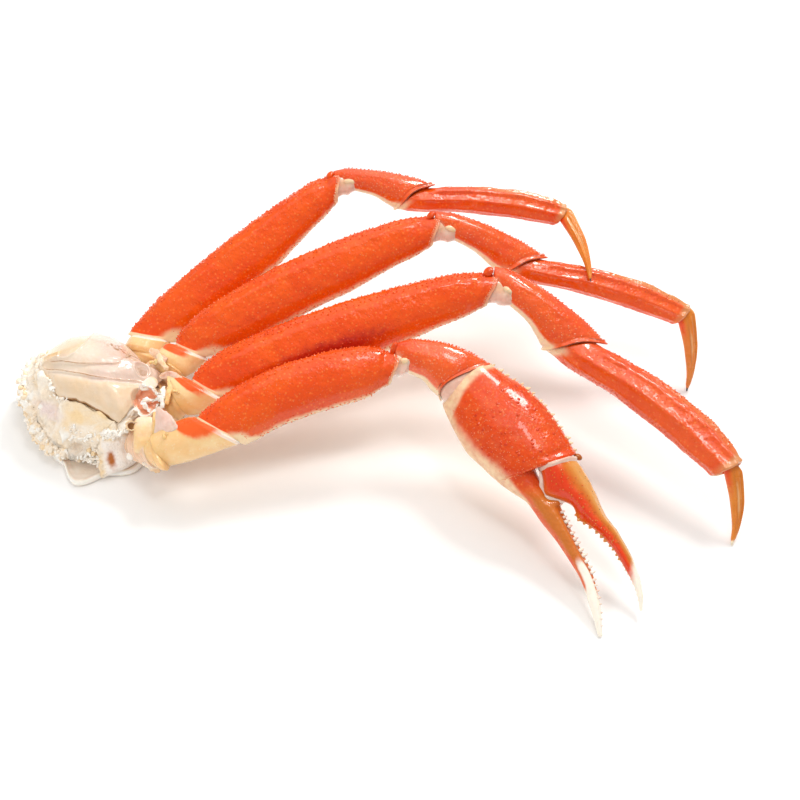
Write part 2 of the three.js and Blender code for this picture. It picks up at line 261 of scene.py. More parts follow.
# Adds a node, sets its choices, and links or sets its inputs, which are given by name or by number
def addNode(tree, kind, choices=None, inputs=None):
    made = tree.nodes.new(kind)
    for key, value in (choices or {}).items():
        setattr(made, key, value)
    for key, value in (inputs or {}).items():
        if isinstance(value, bpy.types.NodeSocket):
            tree.links.new(value, made.inputs[key])
        else:
            made.inputs[key].default_value = value
    return made


# The result of a sum on two or three values
def mathNode(tree, operation, a, b, c=0.0):
    return addNode(tree, "ShaderNodeMath", {"operation": operation}, {0: a, 1: b, 2: c}).outputs[0]


# Colour a with a share of colour b laid over it
def blendColours(tree, share, a, b):
    return addNode(tree, "ShaderNodeMix", {"data_type": "RGBA"}, {0: share, 6: a, 7: b}).outputs[2]


# Cloudy values from 0 to 1
def noiseNode(tree, vector, scale, detail=3.0, distortion=0.0):
    return addNode(tree, "ShaderNodeTexNoise", {}, {
        "Vector": vector, "Scale": scale, "Detail": detail, "Distortion": distortion,
    }).outputs[0]


# toLow where a value is low, toHigh where it is high and a smooth step between them
def spreadNode(tree, value, low, high, toLow=0.0, toHigh=1.0):
    return addNode(tree, "ShaderNodeMapRange", {"interpolation_type": "SMOOTHSTEP"}, {
        0: value, 1: low, 2: high, 3: toLow, 4: toHigh,
    }).outputs[0]


# A new group of nodes with values going in and out. Gives the group, the place on the piece, the sockets
# that the values come in by and those that they leave by.
def newGroup(name, inputs, outputs):
    group = bpy.data.node_groups.new(name, "ShaderNodeTree")
    for label, value in inputs.items():
        socket = group.interface.new_socket(label, in_out="INPUT", socket_type="NodeSocketFloat")
        socket.default_value = value
    for label in outputs:
        group.interface.new_socket(label, in_out="OUTPUT", socket_type="NodeSocketFloat")
    place = group.nodes.new("ShaderNodeTexCoord").outputs["Object"]
    entry, leave = group.nodes.new("NodeGroupInput"), group.nodes.new("NodeGroupOutput")
    return group, place, entry.outputs, leave.inputs


# A mark with a ragged edge: noise is added to it, and the sum is cut with a soft threshold
def buildRaggedMark():
    group, place, entry, leave = newGroup(
        "ragged mark", {"Mark": 0, "Grain": 300, "Ragged": 0.5, "Softness": 0.2}, ["Mask"])
    grain = noiseNode(group, place, entry["Grain"], 4)
    shift = mathNode(group, "MULTIPLY", mathNode(group, "SUBTRACT", grain, 0.5), entry["Ragged"])
    total = mathNode(group, "ADD", entry["Mark"], shift)
    low = mathNode(group, "SUBTRACT", 0.5, entry["Softness"])
    high = mathNode(group, "ADD", 0.5, entry["Softness"])
    group.links.new(spreadNode(group, total, low, high), leave["Mask"])
    return group


# Two tones that vary over a surface: wide clouds, and small specks from cells
def buildMottle():
    group, place, entry, leave = newGroup(
        "mottle", {"Cloud Scale": 60, "Speck Scale": 700}, ["Clouds", "Specks"])
    clouds = noiseNode(group, place, entry["Cloud Scale"], 5, 0.6)
    group.links.new(spreadNode(group, clouds, 0.3, 0.7), leave["Clouds"])
    cells = addNode(group, "ShaderNodeTexVoronoi", {}, {"Vector": place, "Scale": entry["Speck Scale"]})
    group.links.new(spreadNode(group, cells.outputs["Distance"], 0.32, 0.12), leave["Specks"])
    return group


# The fine relief of a wet surface: pores and soft ripples as a height, and wet and drier patches as a
# roughness between two values
def buildWetSurface():
    group, place, entry, leave = newGroup(
        "wet surface", {"Pore Scale": 900, "Pores": 0.5, "Ripples": 0.5, "Wet": 0.15, "Dry": 0.4},
        ["Height", "Roughness"])
    pores = mathNode(group, "MULTIPLY", noiseNode(group, place, entry["Pore Scale"], 2), entry["Pores"])
    ripples = noiseNode(group, place, 170, 3)
    height = mathNode(group, "MULTIPLY_ADD", ripples, entry["Ripples"], pores)
    patches = noiseNode(group, place, 130, 4)
    group.links.new(height, leave["Height"])
    group.links.new(spreadNode(group, patches, 0.35, 0.65, entry["Wet"], entry["Dry"]), leave["Roughness"])
    return group


raggedMark, mottle, wetSurface = buildRaggedMark(), buildMottle(), buildWetSurface()


# Places a group in a material with its own values, and gives its outputs
def useGroup(tree, group, inputs):
    return addNode(tree, "ShaderNodeGroup", {"node_tree": group}, inputs).outputs


# The one recipe for every finish here. Colours: main with clouds of a second tone and specks of a third,
# then cream, red, brown, tan and white laid over it where the marks say, each with its own ragged edge
def crabFinish(name, look):
    material = bpy.data.materials.new(name)
    material.use_nodes = True
    tree = material.node_tree
    shader = tree.nodes["Principled BSDF"]
    tones = useGroup(tree, mottle, {"Cloud Scale": look["cloudScale"], "Speck Scale": look["speckScale"]})
    clouds = mathNode(tree, "MULTIPLY", tones["Clouds"], look["clouds"])
    specks = mathNode(tree, "MULTIPLY", tones["Specks"], look["specks"])
    shade = blendColours(tree, clouds, colour(look["main"]), colour(look["second"]))
    shade = blendColours(tree, specks, shade, colour(look["speck"]))
    for mark in markNames:
        value = addNode(tree, "ShaderNodeAttribute", {"attribute_name": mark}).outputs["Fac"]
        grain, ragged, softness = look["edges"][mark]
        mask = useGroup(tree, raggedMark, {
            "Mark": value, "Grain": grain, "Ragged": ragged, "Softness": softness,
        })
        shade = blendColours(tree, mask["Mask"], shade, colour(look[mark]))
    wet = useGroup(tree, wetSurface, {
        "Pore Scale": look["poreScale"], "Pores": look["pores"], "Ripples": look["ripples"],
        "Wet": look["wet"], "Dry": look["dry"],
    })
    bump = addNode(tree, "ShaderNodeBump", {}, {
        "Strength": 1.0, "Distance": look["bump"] * mm, "Height": wet["Height"],
    })
    tree.links.new(shade, shader.inputs["Base Color"])
    tree.links.new(wet["Roughness"], shader.inputs["Roughness"])
    tree.links.new(bump.outputs["Normal"], shader.inputs["Normal"])
    for socket, value in (
            ("Coat Weight", look["coat"]), ("Coat Roughness", look["coatRoughness"]),
            ("Specular IOR Level", look["specular"]), ("Subsurface Weight", look["depth"]),
            ("Subsurface Radius", look["depthColour"]), ("Subsurface Scale", look["depthScale"] * mm)):
        shader.inputs[socket].default_value = value
    return material


# The finishes. Scales are per metre, bump and depthScale are millimetres, and edges are each mark's
# [grain, raggedness, softness]
shellEdges = {"cream": (260, 0.5, 0.34), "red": (420, 0.5, 0.3), "brown": (600, 0.4, 0.3),
              "tan": (200, 0.5, 0.4), "white": (300, 0.45, 0.3)}
orangeLook = {
    "main": "ee590c", "second": "e5460a", "speck": "f98a3e", "cream": "f8d9ae", "red": "c8260c",
    "brown": "8a3c14", "tan": "dc8f56", "white": "fff6e6",
    "clouds": 0.75, "specks": 0.45, "cloudScale": 70, "speckScale": 560,
    "edges": shellEdges,
    "poreScale": 900, "pores": 0.2, "ripples": 1.1, "bump": 0.9,
    "wet": 0.1, "dry": 0.34, "coat": 0.5, "coatRoughness": 0.07, "specular": 0.22,
    "depth": 0.05, "depthColour": (1.0, 0.25, 0.05), "depthScale": 1.2,
}
shinyShell = crabFinish("shinyShell", {**orangeLook, "coat": 0.8, "specular": 0.5, "dry": 0.4})
# Its darker red is also the crimson painted shade low on the long joints' front faces, besides the red of
# their upper band, spines and knobs
merusShell = crabFinish("merusShell", {**orangeLook, "coat": 0.6, "red": "b4200e"})
palmShell = crabFinish("palmShell", {
    **orangeLook, "main": "e6500a", "second": "dc4008", "tan": "ce732b", "brown": "7a4216",
    "edges": {**shellEdges, "cream": (220, 0.45, 0.55), "tan": (220, 0.4, 0.6)},
})
amberLook = {
    "main": "d97a24", "second": "e68c30", "speck": "c05e1a", "cream": "fae8c8", "red": "e5480f",
    "brown": "3a2012", "tan": "efc58c", "white": "fff5e4",
    "clouds": 0.7, "specks": 0.3, "cloudScale": 110, "speckScale": 900,
    "edges": {"cream": (500, 0.35, 0.3), "red": (300, 0.5, 0.35), "brown": (500, 0.4, 0.3),
              "tan": (300, 0.4, 0.35), "white": (300, 0.45, 0.3)},
    "poreScale": 1500, "pores": 0.2, "ripples": 0.4, "bump": 0.3,
    "wet": 0.16, "dry": 0.34, "coat": 0.45, "coatRoughness": 0.1, "specular": 0.32,
    "depth": 0.12, "depthColour": (1.0, 0.45, 0.15), "depthScale": 1.2,
}
amberShell = crabFinish("amberShell", amberLook)
fingerShell = crabFinish("fingerShell", {**amberLook, "tan": "e0a058", "red": "e23c0c"})
creamShell = crabFinish("creamShell", {
    "main": "f9d59e", "second": "f3bf7e", "speck": "fbe6c2", "cream": "fbe6d4", "red": "f0601c",
    "brown": "8a5426", "tan": "ecbd78", "white": "fff6ea",
    "clouds": 0.8, "specks": 0.3, "cloudScale": 120, "speckScale": 600,
    "edges": {"cream": (400, 0.3, 0.25), "red": (330, 0.55, 0.3), "brown": (500, 0.4, 0.3),
              "tan": (300, 0.5, 0.4), "white": (300, 0.45, 0.3)},
    "poreScale": 1100, "pores": 0.3, "ripples": 0.6, "bump": 0.4,
    "wet": 0.25, "dry": 0.5, "coat": 0.35, "coatRoughness": 0.15, "specular": 0.35,
    "depth": 0.25, "depthColour": (1.0, 0.6, 0.3), "depthScale": 2,
})
paleLook = {
    "main": "f0dcc8", "second": "e9d0b6", "speck": "f8eadb", "cream": "ecca9f", "red": "e2c6ba",
    "brown": "a5713a", "tan": "efca96", "white": "fff8ee",
    "clouds": 0.8, "specks": 0.3, "cloudScale": 90, "speckScale": 300,
    "edges": {"cream": (200, 0.5, 0.4), "red": (200, 0.5, 0.4), "brown": (700, 0.5, 0.3),
              "tan": (200, 0.5, 0.4), "white": (300, 0.45, 0.3)},
    "poreScale": 900, "pores": 0.2, "ripples": 0.8, "bump": 0.4,
    "wet": 0.12, "dry": 0.3, "coat": 0.6, "coatRoughness": 0.06, "specular": 0.4,
    "depth": 0.25, "depthColour": (1.0, 0.75, 0.55), "depthScale": 1.5,
}
paleShell = crabFinish("paleShell", paleLook)
socketSkin = crabFinish("socketSkin", {**paleLook, "red": "f0a884", "coat": 0.4, "ripples": 1.2})
whiteMeat = crabFinish("whiteMeat", {
    "main": "fdf2e2", "second": "f9e3c6", "speck": "fff8ee", "cream": "fbdcab", "red": "f3dfd8",
    "brown": "b8682a", "tan": "f6d8ac", "white": "fffaf1",
    "clouds": 0.7, "specks": 0.4, "cloudScale": 160, "speckScale": 500,
    "edges": {"cream": (300, 0.6, 0.35), "red": (300, 0.6, 0.35), "brown": (700, 0.7, 0.5),
              "tan": (300, 0.6, 0.35), "white": (300, 0.45, 0.3)},
    "poreScale": 1100, "pores": 0.8, "ripples": 1.0, "bump": 0.6,
    "wet": 0.25, "dry": 0.55, "coat": 0.25, "coatRoughness": 0.2, "specular": 0.3,
    "depth": 0.0, "depthColour": (1.0, 0.97, 0.93), "depthScale": 1.0,
})
jointSkin = crabFinish("jointSkin", {
    "main": "f2dac9", "second": "eac8b4", "speck": "f8e8dc", "cream": "f8cd96", "red": "e6aa92",
    "brown": "8a6444", "tan": "f0cda8", "white": "fffaf4",
    "clouds": 0.8, "specks": 0.2, "cloudScale": 200, "speckScale": 700,
    "edges": {"cream": (300, 0.5, 0.3), "red": (300, 0.5, 0.4), "brown": (500, 0.5, 0.3),
              "tan": (300, 0.5, 0.4), "white": (300, 0.45, 0.3)},
    "poreScale": 900, "pores": 0.4, "ripples": 0.8, "bump": 0.4,
    "wet": 0.15, "dry": 0.35, "coat": 0.5, "coatRoughness": 0.1, "specular": 0.4,
    "depth": 0.3, "depthColour": (1.0, 0.6, 0.5), "depthScale": 1.5,
})
print("materials made")


# Every limb is a chain of bones from the body to its tip.
lean = 45                # how far the broad faces lean back from upright
# How far each joint's plane is turned from square to the bone, and the same for the open ends
tilt = {"body": 0, "coxa": -12, "hip": -42, "knee": 36, "wrist": 48, "ankle": 26, "clawWrist": 38,
        "hinge": 11, "tip": 0}
# Two pieces that meet are a fit gap apart. Where a joint has skin, they are apart by its thickness too,
# and a gap on either side of it.
fitGap, skinThickness = 0.3, 2.6
endGap, skinSide = fitGap / 2, skinThickness / 2 + fitGap      # from a joint's plane to a piece's end

# A place is [x, y, z] and a bone is [length, heading, pitch]. half is half the width at the widest.
legs = {
    "rear_leg": {
        "hip": [-89.1, 38.5, 20.5], "merus": [96.5, 31.9, 24.1], "carpus": [29.7, -9.4, -4],
        "propodus": [61, -2.8, -5.5], "dactyl": [32.9, -71.4, -13.2], "ischium": [8, 62, 20],
        "coxa": [6.5, 25, 35], "half": {"merus": 10.4, "carpus": 6.2, "propodus": 5.8, "dactyl": 2.7},
        "bow": 1.2, "blunt": 0.5, "blotchFrom": 1.2,
    },
    "middle_leg": {
        "hip": [-72.5, 24.5, 28.2], "merus": [108.4, 21.1, 16], "carpus": [36, -10.6, -22.8],
        "propodus": [69, -10.7, -12.5], "dactyl": [33, -77.5, -61.5], "ischium": [9, 38, 21],
        "coxa": [8.5, -8, 58], "half": {"merus": 10.7, "carpus": 7, "propodus": 6, "dactyl": 3},
        "bow": 4.2, "blunt": 0, "blotchFrom": 0.6,
    },
    "front_leg": {
        "hip": [-64.5, 4.8, 28], "merus": [117.7, 16.5, 10.8], "carpus": [37.5, -29.6, -22],
        "propodus": [78, -41.1, -9.1], "dactyl": [30, -84.7, -51], "ischium": [11, 10, 16],
        "coxa": [10, -6, 48], "half": {"merus": 11.8, "carpus": 8.4, "propodus": 8.2, "dactyl": 3},
        "bow": 3.2, "blunt": 0, "blotchFrom": 0.6,
    },
}
claw = {
    "hip": [-58.5, -15.9, 29], "merus": [71.1, 17.4, 10.5], "carpus": [26.8, -12.2, -8.6],
    "palm": [108.5, -61.3, -20.1], "ischium": [24.2, 6.5, 22], "coxa": [12, -50, 24],
    "half": {"merus": 11, "carpus": 9.4}, "bow": 4, "blunt": 0, "blotchFrom": 0.56,
    "fingerBase": [68.0, -33.8, 30.5], "finger": [62.3, -56.3, -25.1],
}

# [place, upper edge, lower edge, half thickness], as shares of the half width, or millimetres in the claw.
# The palm's rows end with how far its rings slant.
profiles = {
    "coxa": [[0, 0.9, -0.9, 0.8], [0.5, 1, -1, 0.9], [1, 0.85, -0.85, 0.8]],
    "ischium": [[0, 0.72, -0.72, 0.7], [0.35, 0.88, -0.8, 0.78], [1, 0.86, -0.8, 0.76]],
    "merus": [
        [0, 0.42, -0.45, 0.4], [0.04, 0.62, -0.6, 0.46], [0.1, 0.8, -0.76, 0.54], [0.2, 0.95, -0.93, 0.6],
        [0.42, 0.98, -1.02, 0.62], [0.6, 0.93, -1.02, 0.62], [0.74, 0.86, -0.87, 0.58],
        [0.86, 0.78, -0.7, 0.54], [0.95, 0.6, -0.6, 0.5], [1, 0.4, -0.42, 0.44],
    ],
    "clawMerus": [
        [0, 0.66, -0.8, 0.5], [0.1, 0.78, -0.87, 0.56], [0.28, 0.94, -0.9, 0.62], [0.44, 1, -0.97, 0.66],
        [0.62, 0.96, -0.98, 0.66], [0.78, 0.88, -0.93, 0.64], [0.9, 0.7, -0.82, 0.58], [1, 0.4, -0.5, 0.5],
    ],
    "carpus": [
        [0, 0.95, 0.05, 0.4], [0.15, 1.28, -0.1, 0.6], [0.45, 1.42, -0.22, 0.72], [0.7, 1.36, -0.5, 0.78],
        [1, 1.1, -0.85, 0.76],
    ],
    "propodus": [
        [0, 0.82, -0.86, 0.7], [0.12, 1, -0.9, 0.74], [0.4, 1.26, -0.62, 0.72], [0.62, 1.25, -0.62, 0.66],
        [0.85, 0.95, -0.72, 0.6], [1, 0.62, -0.8, 0.56],
    ],
    "dactyl": [
        [0, 1.05, -0.75, 0.7], [0.12, 1.6, -0.55, 0.75], [0.45, 1.75, -0.05, 0.62], [0.75, 1.2, 0.1, 0.45],
        [1, 0.25, -0.2, 0.2],
    ],
    "palm": [
        [0, 13.5, -10.4, 7.5, 0], [0.05, 16, -10.8, 8.6, 0.015], [0.1, 19.2, -11.1, 9.4, 0.03],
        [0.2, 23.4, -10.9, 10.2, 0.1], [0.3, 25, -8, 10, 0.22], [0.348, 25.2, -6.5, 9.4, 0.27],
        [0.362, 25, -5.9, 8.8, 0.285], [0.37, 8.8, -5.6, 7.4, 0.285], [0.42, 8.6, -2.9, 6.2, 0.25],
        [0.48, 8.4, 0.6, 5.2, 0.15], [0.56, 10.4, 1.6, 4.3, 0.05], [0.65, 9.8, 3.2, 3.8, 0],
        [0.78, 9.3, 4, 3.2, 0], [0.9, 6.4, 2.3, 2.2, 0], [1, 1.6, -0.2, 0.8, 0],
    ],
    "finger": [
        [0, 7.6, -5.4, 5.4], [0.07, 8.2, -6.4, 5.6], [0.146, 8.2, -6.6, 5.2], [0.237, 7.8, -3.6, 4.6],
        [0.4, 6.7, -0.8, 3.9], [0.53, 7.5, 1.7, 3.4], [0.65, 7.3, 2.5, 3], [0.8, 6.1, 2.4, 2.3],
        [0.93, 3.3, 1, 1.5], [1, 0.5, -0.8, 0.7],
    ],
}


# The way a bone points, from its heading and its pitch
def direction(bone):
    heading, pitch = bone[1:]
    return np.array([cosOf(pitch) * cosOf(heading), cosOf(pitch) * sinOf(heading), sinOf(pitch)])


# Where a bone ends that starts at a point
def endOf(start, bone):
    return start + bone[0] * direction(bone)


# Along the bone, out of its broad front face, and towards its upper edge
def boneAxes(bone):
    forward = direction(bone)
    face = np.array([0, -cosOf(lean), sinOf(lean)])
    face = unit(face - (face @ forward) * forward)
    return forward, face, np.cross(face, forward)


# A joint's plane: a point on it, and the bone's direction turned some degrees towards its lower edge
def jointPlane(point, bone, joint):
    forward, face, upper = boneAxes(bone)
    return point, cosOf(tilt[joint]) * forward - sinOf(tilt[joint]) * upper


# What a limb piece is lofted from: its bone, a profile with its half width, the planes that cut it with
# the gap to each, how far its middle bows upwards, and how blunt its root is
def limbOf(start, bone, profile, half, fromSide, toSide, bow=0, blunt=0):
    return {"start": start, "bone": bone, "profile": profiles[profile], "half": half, "from": fromSide,
            "to": toSide, "bow": bow, "blunt": blunt}


# Ovals along a bone between two tilted planes. A point is the start, plus the upper direction times
# (the oval's rise plus its half height and the relief, times the sine of the angle), plus the face
# direction times (its half depth and the relief, times the cosine), moved along the bone to its share of
# the way between the planes. Angle 0 is the middle of the front face and 90 the upper edge.
def limbSurface(limb, places, angles, relief=0):
    forward, face, upper = boneAxes(limb["bone"])
    rows, half = limb["profile"], limb["half"]
    fill = limb["blunt"] * np.maximum(0, 1 - 5 * places)
    top = mix(alongTable(rows, places, 1), 1, fill) * half
    bottom = mix(alongTable(rows, places, 2), -1, fill) * half
    depth = alongTable(rows, places, 3) * half
    rise = (top + bottom) / 2 + limb["bow"] * np.sin(np.pi * places)
    up = rise[:, None] + ((top - bottom)[:, None] / 2 + relief) * sinOf(angles)
    out = (depth[:, None] + relief) * cosOf(angles)
    offset = up[..., None] * upper + out[..., None] * face

    def reach(plane, gap):
        point, normal = plane
        return ((point - limb["start"] - offset) @ normal + gap) / (forward @ normal)

    slant = alongTable(rows, places, 4)[:, None] if len(rows[0]) > 4 else 0
    distance = mix(reach(*limb["from"]), reach(*limb["to"]), places[:, None]) + slant * up
    return limb["start"] + offset + distance[..., None] * forward


# The direction out of a grid at each point: the way round it crossed with the way along it, turned over
# if that points inwards on the whole
def gridNormals(grid):
    around = np.roll(grid, -1, axis=1) - np.roll(grid, 1, axis=1)
    normals = unit(np.cross(around, np.gradient(grid, axis=0)))
    outward = np.sum(normals * (grid - grid.mean(axis=1, keepdims=True)))
    return normals if outward > 0 else -normals


# The value of a grid between its points, at a ring and a side that need not be whole
def onGrid(grid, ring, side):
    rings, sides = grid.shape[:2]
    ring = np.clip(ring, 0, rings - 1.001)
    low, left = ring.astype(int), np.floor(side).astype(int)
    up, right = (ring - low)[:, None], (side - left)[:, None]
    left, beside = left % sides, (left + 1) % sides
    return mix(mix(grid[low, left], grid[low, beside], right),
               mix(grid[low + 1, left], grid[low + 1, beside], right), up)


# Rings that carry an edge on: each step is [how far in towards the middle, how far out past the edge]
def turnIn(ring, outward, steps):
    middle = ring.mean(axis=0)
    spokes = ring - middle
    steps = np.asarray(steps, float)[:, :, None, None]
    share = np.maximum(1 - steps[:, 0] / np.linalg.norm(spokes, axis=1)[:, None], 0.02)
    return middle + spokes * share + outward * steps[:, 1]


# Rings that close over an end like a dome: an angle goes up to a right angle, its cosine is the share of
# the ring's width and its sine the share of the dome's height
def domeOver(ring, outward, height, steps=7):
    middle = ring.mean(axis=0)
    angle = np.linspace(0, np.pi / 2, steps + 1)[1:, None, None]
    return middle + (ring - middle) * np.maximum(np.cos(angle), 0.03) + outward * height * np.sin(angle)


# The whole surface of a limb piece, laid on its CAD node: the middle of its box goes to the middle of the
# node's box. relief(place, angle, points) gives millimetres. size is the number of rings and sides.
def layLimb(node, limb, size, relief, places=None):
    places = np.linspace(0, 1, size[0]) if places is None else places
    angles = np.arange(size[1]) * 360 / size[1]
    plain = limbSurface(limb, places, angles)
    low, high = (np.array(corner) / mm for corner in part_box(node))
    shift = (low + high) / 2 - (plain.min(axis=(0, 1)) + plain.max(axis=(0, 1))) / 2
    lift = relief(places[:, None], angles[None, :], plain)
    grid = limbSurface(limb, places, angles, lift) + shift
    return {
        "grid": grid, "normals": gridNormals(grid), "places": places, "angles": angles,
        "axes": boneAxes(limb["bone"]), "from": limb["from"][0][1], "to": limb["to"][0][1],
        "place": places[:, None] + 0 * angles, "angle": angles + 0 * places[:, None],
    }


# Moves the rings near an end along the limb, more at some angles: rows of [angle, width, millimetres]
def shapeEdge(laid, rows, reach=0.08, end=1):
    push = ridgesAt(laid["angle"], rows) * rampUp(1 - np.abs(laid["place"] - end), 1 - reach, 1)
    laid["grid"] = laid["grid"] + push[..., None] * laid["axes"][0]


# Points on a laid limb at given places and angles, with the direction out of the surface there, both
# read between the points of its grid
def spotsOn(laid, place, angle):
    ring = np.interp(place, laid["places"], np.arange(len(laid["places"])))
    side = np.asarray(angle) / 360 * len(laid["angles"])
    return onGrid(laid["grid"], ring, side), unit(onGrid(laid["normals"], ring, side))


# Closes a laid limb, and carries its marks on over both ends. ends are the height of a dome over its
# root, then the height of a dome over its end, or the steps of an open rim there.
def closeLimb(laid, marks, ends):
    start = domeOver(laid["grid"][0], -laid["from"], ends[0])
    carryOn = turnIn if isinstance(ends[1], list) else domeOver
    end = carryOn(laid["grid"][-1], laid["to"], ends[1])
    grid = np.concatenate([start[::-1], laid["grid"], end])      # the start's rings are counted outwards
    more = (len(start), len(end)), (0, 0)
    return tubePart(grid, {name: np.pad(np.broadcast_to(values, laid["place"].shape), more, "edge")
                           for name, values in marks.items()})


# Rows of [height, width] as shares, from the root up
spineShape = ((-0.5, 1.1), (0.1, 1.0), (0.55, 0.62), (0.9, 0.25))
wartShape = ((-0.6, 1.05), (0.1, 1.0), (0.6, 0.78), (0.9, 0.4))
toothShape = ((-0.6, 1.15), (0.1, 1.0), (0.6, 0.6), (0.95, 0.2))


# Many small spines or warts in one part: cones round their outward directions, sunk a little into the
# surface, whose rings are the shape's widths at the shape's heights
def spinePart(bases, outward, tall, wide, marks, shape=spineShape, sides=6):
    count = len(bases)
    outward = unit(outward)
    helper = np.where(np.abs(outward[:, 2:]) < 0.9, [[0, 0, 1]], [[1, 0, 0]])
    across = unit(np.cross(outward, helper))
    beside = np.cross(outward, across)
    turn = np.arange(sides) * 2 * np.pi / sides
    spokes = np.cos(turn)[:, None] * across[:, None] + np.sin(turn)[:, None] * beside[:, None]
    levels, widths = np.array(shape).T
    tall, wide = np.broadcast_to(tall, count), np.broadcast_to(wide, count)
    centres = bases[:, None] + outward[:, None] * (tall[:, None] * levels)[..., None]
    rings = centres[:, :, None] + spokes[:, None] * (wide[:, None] * widths)[:, :, None, None]
    ends = np.stack([centres[:, 0], bases + outward * tall[:, None]], axis=1)
    points = np.concatenate([rings.reshape(count, -1, 3), ends], axis=1)
    each = points.shape[1]
    quads, tris = tubeFaces(len(levels), sides)
    starts = (np.arange(count) * each)[:, None, None]
    return facingOut({
        "points": points.reshape(-1, 3), "quads": (quads + starts).reshape(-1, 4),
        "tris": (tris + starts).reshape(-1, 3),
        "marks": {name: np.repeat(np.broadcast_to(marks.get(name, 0.0), count), each)
                  for name in markNames},
    })


# Places and angles strewn evenly but not in rows: a lattice with every point moved at random in its cell
def strew(places, angles, along, around, loose):
    place, angle = np.meshgrid(np.arange(along) + 0.5, np.arange(around) + 0.5, indexing="ij")
    place = place + (dice.random(place.shape) - 0.5) * loose
    angle = angle + (dice.random(angle.shape) - 0.5) * loose + 0.5 * (np.arange(along) % 2)[:, None]
    return mix(*places, place / along).ravel(), mix(*angles, angle / around).ravel()


# Strews every kind of spine or wart in kinds over a laid limb. look gives the number of each along and
# round the limb. size is [height, width], and lean is how far they lean along the limb. Without a shape
# they are warts.
def strewOn(laid, kinds, look):
    parts = []
    for name, kind in kinds.items():
        along, around = look[name]
        if along == 0:
            continue
        bases, outward = spotsOn(laid, *strew(kind["places"], kind["angles"], along, around, kind["loose"]))
        outward = unit(outward + kind.get("lean", 0) * laid["axes"][0])
        tall = kind["size"][0] * mix(0.7, 1.25, dice.random(len(bases)))
        wide = kind["size"][1] * mix(0.8, 1.15, dice.random(len(bases)))
        parts.append(spinePart(bases, outward, tall, wide, kind["marks"], kind.get("shape", wartShape)))
    return parts


# An egg-shaped lump: radii along three directions, with a little noise
def lumpPart(middle, axes, radii, marks, roughness, seed, rings=20, sides=28):
    tip = np.linspace(0, np.pi, rings)[1:-1, None]
    turn = np.arange(sides) * 2 * np.pi / sides
    ball = [np.cos(tip) + 0 * turn, np.sin(tip) * np.cos(turn), np.sin(tip) * np.sin(turn)]
    ball = np.stack(ball, axis=-1)
    points = middle + (ball * radii) @ np.array(axes)
    points = points + (points - middle) * (roughness * layeredNoise(points, 2, seed))[..., None]
    return tubePart(points, marks)


# A lump on a laid limb at [place, angle], pushed [along the limb, out of it]
def lumpOn(laid, spot, push, radii, marks, roughness, seed):
    bases, outward = spotsOn(laid, np.array([float(spot[0])]), np.array([float(spot[1])]))
    forward, out = laid["axes"][0], outward[0]
    middle = bases[0] + forward * push[0] + out * push[1]
    return lumpPart(middle, [forward, out, np.cross(forward, out)], radii, marks, roughness, seed)


# Skin or flesh that joins two rings of points: rings in between, pinched in the middle by a share of
# their width, with folds as a sine wave along it and a fine grain
def bridgePart(ringA, ringB, marks, pinch, folds, foldDepth, rings, seed=0):
    t = np.linspace(0, 1, rings)[:, None, None]
    points = mix(ringA, ringB, t)
    spokes = points - points.mean(axis=1, keepdims=True)
    squeeze = 1 - pinch * np.sin(np.pi * t)
    turns = 2 * np.pi * folds * t + 1.2 * softNoise(points, 4, seed)[..., None]
    wave = foldDepth * np.sin(turns) * np.sin(np.pi * t)
    grain = 0.15 * layeredNoise(points, 1.5, seed + 5)[..., None]
    return tubePart(points + spokes * (squeeze - 1) + unit(spokes) * (wave + grain), marks)


# One value for each row of a table, or one for all, spread evenly over a number of rings
def overRings(values, rows, rings):
    values = np.broadcast_to(values, len(rows))
    return np.interp(np.linspace(0, 1, rings), np.linspace(0, 1, len(rows)), values)[:, None]


# A strap of shell or flesh along a path: rows of [x, y, z, half width, half thickness]. It is widest square
# to the path and to the facing direction, each ring is an oval with full corners, and its ends are round
def strapPart(rows, facing, marks, ragged, seed, rings=60, sides=40):
    steps, length = np.linspace(0, 1, rings), np.linspace(0, 1, len(rows))
    table = np.column_stack([length, np.array(rows, float)])
    path = np.stack([alongTable(table, steps, column) for column in (1, 2, 3)], axis=-1)
    ends = np.sqrt(np.clip(1 - (2 * steps - 1) ** 10, 0.03, 1))
    wide, thick = (alongTable(table, steps, column) * ends for column in (4, 5))
    way = unit(np.gradient(path, axis=0))
    across = unit(np.cross(way, facing))
    out = np.cross(across, way)
    turn, fullness = np.arange(sides) * 2 * np.pi / sides, 0.7
    cosine, sine = (np.sign(part) * np.abs(part) ** fullness for part in (np.cos(turn), np.sin(turn)))
    grid = (path[:, None] + across[:, None] * (wide[:, None] * cosine)[..., None]
            + out[:, None] * (thick[:, None] * sine)[..., None])
    spread = {name: overRings(values, rows, rings) for name, values in marks.items()}
    return tubePart(grid + ragged * shiftNoise(grid, (1.8, 0.7), seed), spread)


# The cream underside: 1 where the sine of the angle is below an edge, which is low on the front face and
# higher on the back
def undersideMark(laid, front, back=0.05, softness=0.12):
    edge = mix(-front, back, rampUp(-cosOf(laid["angle"]), -0.15, 0.55))
    return rampUp(edge - sinOf(laid["angle"]), -softness, softness)


